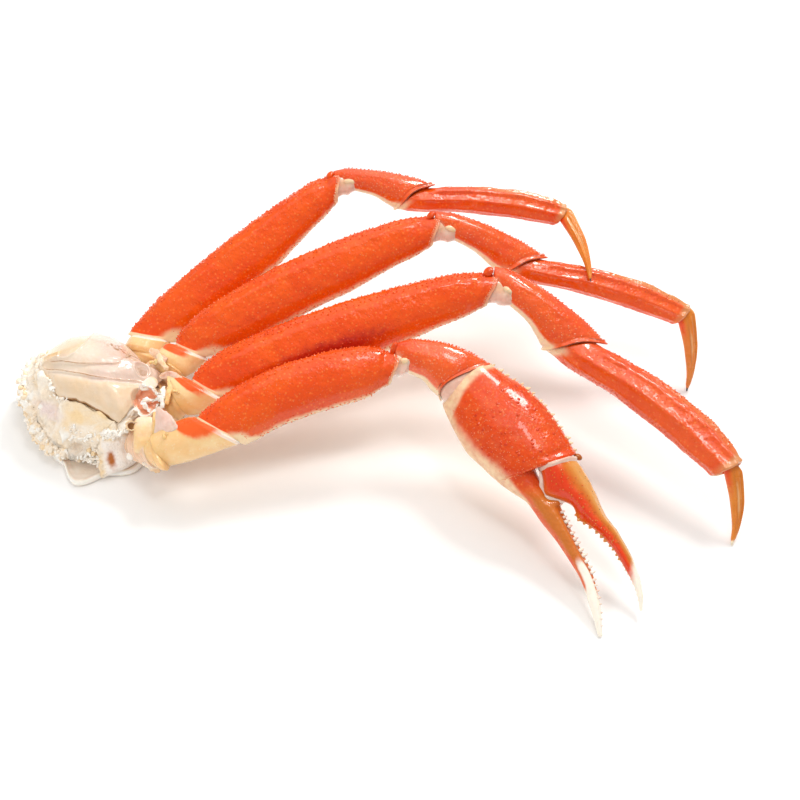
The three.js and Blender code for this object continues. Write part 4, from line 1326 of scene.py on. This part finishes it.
meatLook = {
    "grid": (170, 432),
    "outline": [[-45, 24.5], [-19, 24.5], [8, 22.2], [30, 20], [58, 16], [95, 21], [138, 29.5], [158, 35],
                [188, 29.8], [216, 28], [243, 27.3], [270, 27.4], [293, 26.4]],
    # rows of [place, share of the outline, share of the height]
    "wall": [[0, 0.88, 0], [0.12, 0.99, 0.22], [0.3, 1.0, 0.5], [0.42, 0.985, 0.75], [0.5, 0.94, 0.92],
             [0.56, 0.88, 1]],
    "floor": 3.0, "lowest": 0.6,
    "flakes": {"count": 260, "places": (0.08, 0.56), "bearings": (128, 268), "size": 0.85, "length": 1.4},
    "lumps": [(8, 1.7), (3.4, 1.1), (1.5, 0.5)],         # size and height
    "threads": [(8, 0.9, 8), (14, 3.2, 9)],              # length, width and seed
    # the bearings between which each lies, and how softly it ends
    "plate": (-82, -50, 3), "chamber": (-117, -88, 4), "fibres": (228, 296, 12), "bulge": (-88, -52, 5),
    # patches of colour: bearing and width, then height and width
    "spot": (-76, 3, 11, 3.6), "lilac": (-148, 22, 20, 4), "foot": (-91, 4, 4.5, 1.2),
    # heaps of crumbs: middle, spread, how many and how big
    "crumbs": [
        ((-100.6, -12.2, 21.6), (3.0, 1.0, 1.8), 60, 0.8), ((-109, -9.5, 17), (5, 1.6, 1.6), 26, 0.6),
        ((-117, -6, 15), (3, 1.6, 3), 30, 0.7), ((-109, -13.6, 8), (4, 1.2, 3), 60, 0.7),
        ((-82.7, -20.8, 18), (1.3, 1, 2.6), 26, 0.65), ((-93.5, -14.5, 24), (1.4, 0.8, 0.8), 10, 0.6),
        ((-123.6, 7.0, 29.2), (1.6, 4.4, 1.0), 60, 0.6), ((-118, 1.8, 28.4), (4.4, 1.0, 0.8), 40, 0.5),
    ],
}


# The dome's height at a bearing and radius: from the top down to the rim's height, along a power of the
# radius as a share of the rim's
def domeHeight(bearings, radius):
    edge, height = (roundTable(shoulder["rim"], bearings, column) for column in (1, 2))
    return mix(shoulder["top"], height, np.minimum(radius / edge, 1.45) ** shoulder["flatness"])


# Points round a middle seen from above: the middle plus the radius times the bearing's cosine and sine
def roundAbout(middle, radius, bearings):
    return np.stack([middle[0] + radius * cosOf(bearings), middle[1] + radius * sinOf(bearings)], axis=-1)


# The same points with a height
def atHeight(flat, height):
    return np.concatenate([flat, np.broadcast_to(height, flat.shape[:-1])[..., None]], axis=-1)


# Distance from the roof's apex, seen from above, and the bearing there
def fromApex(points):
    away = points[..., :2] - shoulder["apex"]
    return np.hypot(away[..., 0], away[..., 1]), np.degrees(np.arctan2(away[..., 1], away[..., 0]))


# How far a point lies to the left of a line that runs out from the apex: the angle between them as an arc
def offLine(rows, points):
    distance, bearing = fromApex(points)
    return np.radians(bearing - alongTable(rows, np.clip(distance, rows[0][0], rows[-1][0]), 1)) * distance


# Distance from an oval's middle as a share of its radii. The oval is (x, y, radius in x, radius in y).
def inOval(points, oval):
    return np.hypot((points[..., 0] - oval[0]) / oval[2], (points[..., 1] - oval[1]) / oval[3])


# 1 inside the hollow at the front corner, which the roof and the meat share
def inPocket(flat):
    return 1 - rampUp(inOval(flat, shoulder["pocket"]), 0.72, 0.92)


# The roof is the dome out to its own edge, with everything on it added to its height as lift, and an
# underside a thickness below. Marks: brown in cracks and stains, cream and red for the tints of its lobes.
def addRoof(look):
    rings, sides = look["grid"]
    shares, bearings = np.linspace(0.015, 1, rings)[:, None], np.arange(sides)[None, :] * 360 / sides
    wobble = 0.4 * softNoise(np.stack([bearings / 9, 0 * bearings, 0 * bearings], axis=-1), 1, 3)
    radius = shares * (roundTable(look["edge"], bearings, 1) + wobble)
    flat = roundAbout(shoulder["middle"], radius, bearings)
    height = domeHeight(bearings, radius)
    height = height + look["backRise"] * rampUp(sinOf(bearings), 0.2, 0.9) * shares ** 2
    distance = fromApex(flat)[0]
    brown, lift = 0 * height, 0 * height
    for seam in look["seams"]:          # a thin ridge in a wide valley, with a brown line beside it
        off, here = offLine(seam["rows"], flat), onlyBetween(distance, seam["from"], seam["to"])
        lift = lift + here * (seam["ridge"] * bell(off, 0, 0.4) - seam["valley"] * bell(off, 0, 2.6))
        brown = brown + 0.8 * here * bell(off, 0.1, 0.3)
    off = offLine(look["overlap"], flat)          # the step where one lobe lies over the next
    here = onlyBetween(distance, 6, 30)
    lift = lift - here * 1.5 * rampUp(off, -0.2, 0.8) + here * 0.5 * bell(off, -0.6, 0.7)
    # a short brown line along the step: painted shade under the overlapping lobe
    brown = brown + 0.9 * bell(off, 0.4, 0.35) * onlyBetween(distance, 17.2, 19.2, 1.5)
    hole = inOval(flat, look["hole"])
    lift = lift - 1.0 * (1 - rampUp(hole, 0.7, 1.05)) + 0.5 * bell(hole, 1.15, 0.17)
    brown = brown + 0.45 * (1 - rampUp(hole, 0.55, 1.0)) + 0.3 * bell(hole, 0.98, 0.1)
    x, y, halfWide, halfDeep = look["box"]        # a raised edge round it
    boxOff = np.maximum(np.abs(flat[..., 0] - x) - halfWide, np.abs(flat[..., 1] - y) - halfDeep)
    lift = lift + 0.7 * bell(boxOff, 0, 0.45) + 0.5 * bell(distance, 2.5, 2.0)
    lift = lift - shoulder["pocketDepth"] * inPocket(flat)
    points = atHeight(flat, height + lift)
    stain, crumbly = (bell(inOval(flat, look["stain"]), 0, width) for width in (0.9, 1.1))
    ripple = 0.3 * layeredNoise(points * [1, 1, 0.3], 6, 41) + 0.07 * layeredNoise(points, 1.6, 44)
    ripple = ripple + 0.45 * crumbly * layeredNoise(points, 1.4, 47)
    points[..., 2] += ripple - 1.0 * rampUp(shares, 0.9, 1) ** 2
    frontLobe = rampUp(-offLine(look["seams"][1]["rows"], flat), 0.3, 3)
    slit = rampUp(shares, 0.975, 0.995) * onlyBetween(bearings, *look["slit"])
    marks = {
        "brown": held(brown + 0.55 * stain * (1 + softNoise(points, 1.2, 49)) + 0.7 * slit),
        "cream": held(0.5 * frontLobe + 0.6 * stain + 0.45 * rampUp(-distance, -14, -3)
                      + 0.5 * (boxOff < 0)),
        "red": 0.55 * (1 - frontLobe) * rampUp(distance, 16, 30),
        "white": 0.5 * bell(lift, 0.9, 0.4) * (1 - stain),
        "tan": 0.5 * rampUp(offLine(look["overlap"], flat), 0.5, 3),
    }
    # the underside is every third ring again, from the edge back to the middle
    grid = np.concatenate([points, points[::-3] - [0, 0, look["thickness"]]])
    marks = {name: np.concatenate([values, values[::-3]]) for name, values in marks.items()}
    makePiece("shoulder_roof", [tubePart(grid, marks)], paleShell, ["shoulder_roof"])


# Rows of [height, width] as shares, like the shapes of the spines
flakeShape = ((-0.95, 0.4), (-0.5, 0.88), (0, 1.0), (0.5, 0.84), (0.9, 0.45))


# Many crumbs: eight-sided lumps lying any way round and roughened. length is their half length over their
# half width.
def flakesPart(bases, size, length, marks, seed):
    way = unit(dice.normal(size=(len(bases), 3)) * [1, 1, 0.6])
    wide = size * mix(0.5, 1.3, dice.random(len(bases)))
    part = spinePart(bases, way, wide * length, wide, marks, flakeShape, 8)
    part["points"] = part["points"] + 0.35 * size * shiftNoise(part["points"], (1.5 * size,), seed)
    return part


# The height of the meat's top: the dome, less the gap under the roof or the depth of the pocket, whichever
# is more
def meatTop(bearings, radius, roofEdge):
    hollow = shoulder["pocketDepth"] * inPocket(roundAbout(shoulder["middle"], radius, bearings))
    gap = mix(3.2, 0.4, rampUp(radius - roofEdge, -0.5, 0.9))
    return domeHeight(bearings, radius) - np.maximum(gap, hollow)


# The meat goes up a wall from the floor and then in over the top to its middle. Lumps with creases between
# them lift it where the roof doesn't hide it, and fibres, a smooth plate and an open chamber take places
# in front. Flakes and crumbs are strewn on it.
def addMeat(look, roof):
    rings, sides = look["grid"]
    t, bearings = np.linspace(0, 1, rings)[:, None], np.arange(sides)[None, :] * 360 / sides
    wallEnd, topShare = look["wall"][-1][:2]
    onWall, wallSpot = t <= wallEnd, np.minimum(t, wallEnd)
    outline, roofEdge = (roundTable(rows, bearings, 1) for rows in (look["outline"], roof["edge"]))
    turn = (bearings + 180) % 360 - 180
    share = np.where(onWall, alongTable(look["wall"], wallSpot, 1),
                     topShare * (1 - (t - wallEnd) / (1 - wallEnd)) + 0.01)
    share = share + 0.17 * onlyBetween(turn, *look["bulge"]) * rampUp(-t, -0.34, -0.02)
    radius = share * outline
    wall = mix(look["floor"], meatTop(bearings, topShare * outline, roofEdge),
               alongTable(look["wall"], wallSpot, 2))
    height = np.where(onWall, wall, meatTop(bearings, radius, roofEdge))
    grid = atHeight(roundAbout(shoulder["middle"], radius, bearings), height)
    plate = onlyBetween(turn, *look["plate"]) * rampUp(-height, -21, -18)
    chamber = onlyBetween(turn, *look["chamber"]) * rampUp(-height, -15, -10)
    fibres = onlyBetween(bearings, *look["fibres"]) * rampUp(height, 13, 21)
    bare = (1 - plate) * (1 - fibres)
    # creases lie where noise is near zero, at each size
    rough = sum(depth * (2.4 * np.abs(layeredNoise(grid, size, 60 + number, 2)) - 0.5)
                for number, (size, depth) in enumerate(look["lumps"]))
    distance, bearing = fromApex(grid)
    across = np.radians(bearing) * distance
    thread = sum(softNoise(np.stack([distance / long, across / wide, 0 * distance], axis=-1), 1, seed)
                 for long, wide, seed in look["threads"])
    seamRidge = rampUp(-height, -13, -10)
    lift = rough * (1 - 0.9 * plate) * (1 - 0.75 * fibres) + 0.45 * fibres * thread
    lift = lift - 2.8 * chamber + 0.9 * plate + 1.2 * bell(turn, -85, 2.2) * seamRidge
    shown = rampUp(radius - roofEdge, -0.6, 0.9)
    grid = grid + gridNormals(grid) * (lift * shown)[..., None]
    grid[..., 2] = np.maximum(grid[..., 2], look["lowest"])
    spot, lilac, foot = (bell(np.hypot((turn - at) / wide, (height - up) / tall), 0, 1)
                         for at, wide, up, tall in (look["spot"], look["lilac"], look["foot"]))
    spot = 1.1 * spot + 0.2 * softNoise(grid, 1.1, 81) - 0.12
    marks = {
        "red": held(0.55 * plate + 0.35 * chamber + 0.8 * lilac * (turn < 0)),
        "brown": held(1.1 * spot * plate + 0.6 * foot),
        # tan along the seam ridge, tan as painted shade in the creases between lumps, and tan on the fibres
        "tan": held(0.6 * bell(turn, -85, 2.5) * seamRidge + 0.4 * rampUp(-rough, 0.3, 1.3) * bare
                    + 0.3 * fibres * rampUp(thread, 0, 0.8)),
        "cream": held(0.55 * fibres * rampUp(height, 16, 24)
                      + 0.4 * rampUp(softNoise(grid, 6, 78), 0.1, 0.6) * (1 - plate)),
        "white": held(0.8 * rampUp(rough, 0.4, 1.6) * bare + 0.5 * plate * rampUp(-spot, -0.25, 0.0)
                      + 0.4 * fibres * rampUp(-thread, 0, 0.8)),
    }
    parts = [tubePart(grid, marks)]
    flakes = look["flakes"]
    ring = mix(*flakes["places"], dice.random(flakes["count"])) * (rings - 1)
    side = mix(*flakes["bearings"], dice.random(flakes["count"])) / 360 * sides
    bases = onGrid(grid, ring, side)
    parts.append(flakesPart(bases, flakes["size"], flakes["length"], {
        "white": dice.random(len(bases)) ** 2, "cream": 0.7 * dice.random(len(bases)),
    }, 90))
    surface = grid[:, ::2].reshape(-1, 3)
    for centre, spread, count, size in look["crumbs"]:          # most of the way down to the surface
        bases = centre + dice.normal(size=(count, 3)) * np.array(spread) * 0.6
        nearest = surface[np.argmin(np.linalg.norm(bases[:, None] - surface, axis=2), axis=1)]
        parts.append(flakesPart(mix(nearest, bases, 0.3), 0.85 * size, 2.2,
                                {"white": 0.4 + 0.6 * dice.random(count)}, 95))
    makePiece("shoulder_meat", parts, whiteMeat, ["shoulder_meat"])


# The plate under the shoulder. Its profile is rows of [share of the radius, height], with a raised lip.
sternumLook = {
    "centre": np.array([-110.0, 5.0]), "grid": (90, 240),
    "outline": [[-115.5, -21], [-104, -16.5], [-93, -14.5], [-88, -4], [-90, 12], [-96, 26], [-112, 33],
                [-130, 30], [-134, 10], [-122, -11]],
    "profile": [[0.02, 0], [0.5, 0], [0.9, 0], [0.965, 0.25], [0.995, 0.9], [1, 1.7], [0.995, 2.6],
                [0.975, 3.1], [0.945, 3.2], [0.9, 2.8], [0.8, 2.4], [0.5, 2.6], [0.02, 2.6]],
}


# The outline as a radius at each bearing, carried through the profile, with a little noise on top
def addSternum(look):
    spokes = np.array(look["outline"]) - look["centre"]
    rows = np.stack([np.degrees(np.arctan2(spokes[:, 1], spokes[:, 0])), np.hypot(*spokes.T)], axis=1)
    rings, sides = look["grid"]
    bearings = np.arange(sides) * 360 / sides
    radius = roundTable(rows[np.argsort(rows[:, 0])], bearings, 1)
    share, height = (overRings(column, look["profile"], rings) for column in np.array(look["profile"]).T)
    grid = atHeight(roundAbout(look["centre"], share * radius, bearings), height)
    top = rampUp(height, 0.8, 2)
    grid = grid + gridNormals(grid) * (0.15 * layeredNoise(grid, 6, 31) * top)[..., None]
    marks = {"white": 0.45 + 0.5 * top * rampUp(share, 0.95, 1)}
    makePiece("sternum", [tubePart(grid, marks)], paleShell, ["sternum"])


# Brown deep inside the cups is painted shade in their hollows, strongest in the small third cup
socketCups = [           # the torn sockets at the front corner: rows are [share of the radii, height]
    {"middle": (-86.9, -1.0, 28.4), "axis": (-0.12, -0.4, 0.9), "radii": (6.0, 5.3),
     "rows": [[0.35, -7], [0.8, -4], [1.0, -0.5], [1.06, 1.0], [1.0, 1.5], [0.9, 1.1], [0.78, 0],
              [0.6, -1.4], [0.3, -2.2], [0.05, -2.4]],
     "marks": {"cream": [0.6, 0.6, 0.5, 0.4, 0.2, 0, 0, 0, 0, 0],
               "white": [0, 0, 0, 0.3, 0.8, 0.6, 0, 0, 0, 0],
               "red": [0, 0, 0, 0, 0, 0.4, 0.8, 0.9, 1, 1],
               "brown": [0, 0, 0, 0, 0, 0, 0, 0, 0.1, 0.2]},
     "ragged": 0.7, "tall": 1.2, "tallAt": (0.75, 0.66, 0.2), "seed": 11},
    {"middle": (-84.3, -3.0, 28.4), "axis": (-0.1, -0.5, 0.85), "radii": (3.3, 2.6),
     "rows": [[0.8, -3.5], [1.0, -1.2], [1.22, 0.3], [1.12, 1.0], [0.8, 0.8], [0.55, -0.3],
              [0.36, -1.1], [0.05, -1.3]],
     "marks": {"cream": [0.5, 0.5, 0.6, 0.3, 0.2, 0, 0, 0], "white": [0, 0.4, 0.6, 0.9, 0.6, 0, 0, 0],
               "red": [0, 0, 0, 0, 0.3, 1, 1, 1], "brown": [0, 0, 0, 0, 0, 0.1, 0.2, 0.25]},
     "ragged": 0.9, "tall": 0.6, "tallAt": (1, 0, 0), "seed": 21},
    {"middle": (-92.0, -11.8, 26.4), "axis": (0.1, -0.5, 0.84), "radii": (2.4, 1.9),
     "rows": [[0.8, -3.5], [1.0, -1], [1.06, 0.6], [0.9, 0.9], [0.72, 0.2], [0.55, -1], [0.05, -1.4]],
     "marks": {"cream": [1, 1, 1, 0.8, 0.3, 0, 0], "brown": [0, 0, 0, 0, 0.4, 0.9, 1]},
     "ragged": 0.4, "tall": 0, "tallAt": (1, 0, 0), "seed": 31},
]


# A cup round an axis, from its outer foot over the rim and down inside: the rows are carried round in an
# oval. The rim is ragged, and higher towards one side
def cupPart(cup, rings=60, sides=72):
    axis, ragged, seed = unit(np.array(cup["axis"], float)), cup["ragged"], cup["seed"]
    side = unit(np.cross(axis, [0, 1, 0]))
    beside = np.cross(axis, side)
    share, height = (overRings(column, cup["rows"], rings) for column in np.array(cup["rows"]).T)
    turn = np.arange(sides) * 2 * np.pi / sides
    spokes = (np.cos(turn)[:, None] * side * cup["radii"][0]
              + np.sin(turn)[:, None] * beside * cup["radii"][1])
    spokes = spokes * (1 + 0.5 * ragged * softNoise(spokes / 2.4, 1, seed + 9))[:, None]
    extra = cup["tall"] * held(unit(spokes) @ unit(np.array(cup["tallAt"], float))) ** 4
    rim = rampUp(height, 0, max(height.max(), 0.1))
    up = height + rim * (extra + 1.6 * ragged * softNoise(spokes / 1.7, 1, seed + 12))
    grid = np.array(cup["middle"]) + spokes * share[..., None] + axis * up[..., None]
    grid = grid + ragged * shiftNoise(grid, (1.3, 0.6), seed) * mix(0.5, 1.0, rim)[..., None]
    return tubePart(grid, {name: overRings(values, cup["rows"], rings)
                           for name, values in cup["marks"].items()})


# The three cups, in one piece
def addSockets(cups):
    makePiece("leg_sockets", [cupPart(cup) for cup in cups], socketSkin)


shellScraps = [          # rows of the strap, the way it faces, marks, raggedness
    ([[-87, -7.6, 27, 4.0, 1.5], [-87, -12.0, 25.4, 4.2, 1.9], [-87.1, -16.4, 21.8, 4.2, 1.9],
      [-86.9, -18.9, 18.4, 4.0, 1.4]], upFront, {"cream": [0.6, 0.4, 0.3, 0.5], "tan": 0.12}, 0.2),
    ([[-83.2, -6.5, 28.4, 0.8, 0.9], [-83.1, -11.5, 26.8, 0.9, 1.0], [-83.0, -16.5, 24.2, 0.8, 0.9]],
     upFront, {"tan": 0.5}, 0.15),
    ([[-85.2, -19.0, 18.6, 4.0, 1.0], [-84.6, -20.2, 14.8, 3.4, 1.1], [-83.8, -20.0, 11, 2.2, 1.0],
      [-82.9, -19.2, 7.2, 0.7, 0.7]], (0, -0.9, 0.4), {"tan": [0, 0.2, 0.5, 0.8], "cream": 0.7}, 0.45),
    ([[-89.4, 2.4, 31.0, 0.9, 0.4], [-87.2, 4.4, 31.2, 2.0, 0.45], [-85.2, 6.6, 30.6, 2.5, 0.45],
      [-83.9, 8.9, 29.6, 1.2, 0.4]], (0.1, -0.6, 0.8), {"cream": [0.9, 0.9, 0.7, 0.4], "white": 0.3}, 0.12),
    ([[-80.8, 5.0, 29.6, 0.9, 0.7], [-80.4, 0.4, 30.6, 0.9, 0.8], [-80.9, -4.4, 29.6, 0.8, 0.8]], upFront,
     {"cream": 0.8, "white": 0.6}, 0.5),
    ([[-79.0, 9.4, 31.0, 0.9, 0.7], [-77.9, 2.6, 32.0, 1.2, 0.9], [-79.0, -3.8, 29.8, 1.0, 0.8]], upFront,
     {"tan": 0.4}, 0.25),
    ([[-82.7, 7.0, 29.4, 0.5, 0.5], [-81.4, 1.5, 30.2, 0.6, 0.5], [-81.7, -4.5, 29.4, 0.5, 0.5]], upFront,
     {"brown": [0.9, 0.3, 0.9]}, 0.5),
    ([[-84.9, 22.2, 30.2, 0.9, 0.8], [-82.6, 17.1, 31.4, 1.3, 0.9], [-79.6, 11.8, 31.6, 0.8, 0.8]], upFront,
     {"tan": 0.3, "cream": 0.5}, 0.4),
    ([[-94.0, -15.6, 15.0, 0.5, 0.5], [-93.6, -16.2, 13.2, 1.5, 1.1], [-93.4, -16.4, 11.2, 0.5, 0.5]],
     (0, -0.9, 0.4), {"white": 1.0}, 0.1),
]
skinFolds = [
    ([[-82.6, -12.3, 28.6, 7.2, 0.7], [-78.5, -14.2, 30.4, 4.6, 0.8], [-73.4, -17.4, 32.2, 0.8, 0.5]],
     upFront, {"red": [0.3, 0.6, 0.2], "white": [0.3, 0.4, 0.2]}, 0.35),
    ([[-82.6, 10.0, 30.0, 1.2, 0.8], [-78.4, 9.4, 31.4, 1.7, 0.9], [-75.4, 6.8, 32.4, 1.6, 0.9],
      [-72.4, 3.2, 33.6, 0.9, 0.6]], upFront,
     {"red": [0.2, 0.6, 0.4, 0.1], "cream": [0.5, 0.2, 0.4, 0.8]}, 0.4),
    ([[-88.0, 24.6, 29.0, 1.4, 0.8], [-84.0, 20.6, 30.4, 1.8, 0.9], [-80.8, 15.8, 31.4, 1.8, 0.8]], upFront,
     {"red": [0.1, 0.4, 0.6], "cream": 0.5}, 0.4),
]
scrapCrumbs = [((-75.2, 0.4, 32.5), 14), ((-77.4, -18.8, 29.4), 14), ((-85.6, 17.0, 30.3), 10)]


# One strap for each row of a table like those above
def strapsOf(table, seed):
    return [strapPart(rows, facing, marks, ragged, seed + number)
            for number, (rows, facing, marks, ragged) in enumerate(table)]


# The straps of shell, and heaps of crumbs round a few middles
def addScraps():
    parts = strapsOf(shellScraps, 200)
    for centre, count in scrapCrumbs:
        bases = centre + dice.normal(size=(count, 3)) * [1.0, 0.7, 0.2]
        parts.append(flakesPart(bases, 0.6, 1.4, {"tan": 0.6 * dice.random(count)}, 97))
    makePiece("shell_scraps", parts, creamShell)


rootSkin = {"at": 0.5, "out": 0.5, "wider": 2.2, "behind": 3.5, "folds": 3, "foldDepth": 0.55,
            "swell": 0.08, "rings": 44}


# Folded skin round the root of each limb: from a ring just outside its first joint to a wider one behind
def addRootSkins(look):
    parts = []
    for number, coxa in enumerate(roots.values()):
        ring = coxa["grid"][int(look["at"] * len(coxa["grid"]))]
        near = turnIn(ring, coxa["axes"][0], [[-look["out"], 0]])[0]
        far = turnIn(coxa["grid"][0], -coxa["from"], [[-look["wider"], look["behind"]]])[0]
        marks = {"cream": 0.5, "red": 0.35 * (number % 2), "tan": 0.3}
        parts.append(bridgePart(near, far, marks, -look["swell"], look["folds"], look["foldDepth"],
                                look["rings"], 300 + 9 * number))
    makePiece("root_skins", parts + strapsOf(skinFolds, 250), jointSkin)


addRoof(roofLook)
addMeat(meatLook, roofLook)
addSternum(sternumLook)
addSockets(socketCups)
addScraps()
addRootSkins(rootSkin)
print("shoulder made")


# Floor, lights and camera, in metres unless they say otherwise
nearWhite, warmWhite = (1.0, 0.995, 0.985), (1.0, 0.99, 0.975)
lamps = {                # square area lights, all aimed at a point just above the floor
    "top": {"size": 1.3, "power": 4.4, "place": (0.0, 0.25, 1.25), "tone": nearWhite, "shine": True},
    "key": {"size": 0.26, "power": 5.4, "place": (0.35, 0.5, 0.8), "tone": warmWhite, "shine": True},
    "front": {"size": 0.6, "power": 3.5, "place": (-0.55, -0.55, 0.7), "tone": warmWhite, "shine": False},
    "back": {"size": 0.9, "power": 1.2, "place": (-0.1, 1.15, 0.62), "tone": nearWhite, "shine": True},
    "glint": {"size": 0.22, "power": 1.5, "place": (0.2, -0.1, 1.15), "tone": nearWhite, "shine": True},
}
lampTarget = (0, 0, 0.02)
room = {"light": 0.40, "backdrop": 0.46, "tone": (1, 0.995, 0.99, 1),
        "floor": ("fcfbfa", "fdfdfc"), "floorHalf": 4, "roughness": 0.7, "specular": 0.2}
view = {"aim": (11.13, 6.2, 20), "azimuth": 0, "elevation": 50, "away": 737.8,       # millimetres
        "lens": 85, "sensor": 36}


# A flat square with two nearly equal tones in clouds
def addFloor(look):
    half = look["floorHalf"]
    mesh = bpy.data.meshes.new("floor")
    mesh.from_pydata([(-half, -half, 0), (half, -half, 0), (half, half, 0), (-half, half, 0)], [],
                     [(0, 1, 2, 3)])
    material = bpy.data.materials.new("floorPaint")
    material.use_nodes = True
    tree = material.node_tree
    place = tree.nodes.new("ShaderNodeTexCoord").outputs["Object"]
    tone = spreadNode(tree, noiseNode(tree, place, 3), 0.3, 0.7)
    shader = tree.nodes["Principled BSDF"]
    shade = blendColours(tree, tone, *(colour(code) for code in look["floor"]))
    tree.links.new(shade, shader.inputs["Base Color"])
    shader.inputs["Roughness"].default_value = look["roughness"]
    shader.inputs["Specular IOR Level"].default_value = look["specular"]
    mesh.materials.append(material)
    floor = bpy.data.objects.new("floor", mesh)
    bpy.context.scene.collection.objects.link(floor)


# Puts a light or a camera at a place, turned so that it looks at the target
def aimed(made, place, target):
    made.location = place
    way = Vector(target) - Vector(place)
    made.rotation_euler = way.to_track_quat("-Z", "Y").to_euler()
    bpy.context.scene.collection.objects.link(made)
    return made


# A square light. Without shine it isn't mirrored in wet shell.
def addLamp(name, look):
    data = bpy.data.lights.new(name, "AREA")
    data.shape = "SQUARE"
    data.size, data.energy, data.color = look["size"], look["power"], look["tone"]
    lamp = bpy.data.objects.new(name, data)
    lamp.visible_glossy = look["shine"]
    aimed(lamp, look["place"], lampTarget)


# The light that comes from all round, and the brighter backdrop that only the camera sees
def addRoom(look):
    world = bpy.data.worlds.new("room")
    world.use_nodes = True
    tree = world.node_tree
    seen = tree.nodes.new("ShaderNodeLightPath").outputs["Is Camera Ray"]
    tree.links.new(spreadNode(tree, seen, 0, 1, look["light"], look["backdrop"]),
                   tree.nodes["Background"].inputs["Strength"])
    tree.nodes["Background"].inputs["Color"].default_value = look["tone"]
    bpy.context.scene.world = world
    bpy.context.scene.view_settings.view_transform = "Standard"


# The camera stands away from its aim along the azimuth, which turns from the front, and the elevation
def addCamera(look):
    data = bpy.data.cameras.new("camera")
    data.lens, data.sensor_width = look["lens"], look["sensor"]
    turn, rise = look["azimuth"], look["elevation"]
    target = (floorMiddle + look["aim"]) * mm
    way = np.array([sinOf(turn) * cosOf(rise), -cosOf(turn) * cosOf(rise), sinOf(rise)])
    made = bpy.data.objects.new("camera", data)
    bpy.context.scene.camera = aimed(made, (target + way * look["away"] * mm).tolist(), target.tolist())


addFloor(room)
for name, look in lamps.items():
    addLamp(name, look)
addRoom(room)
addCamera(view)
print("floor, lights and camera set")
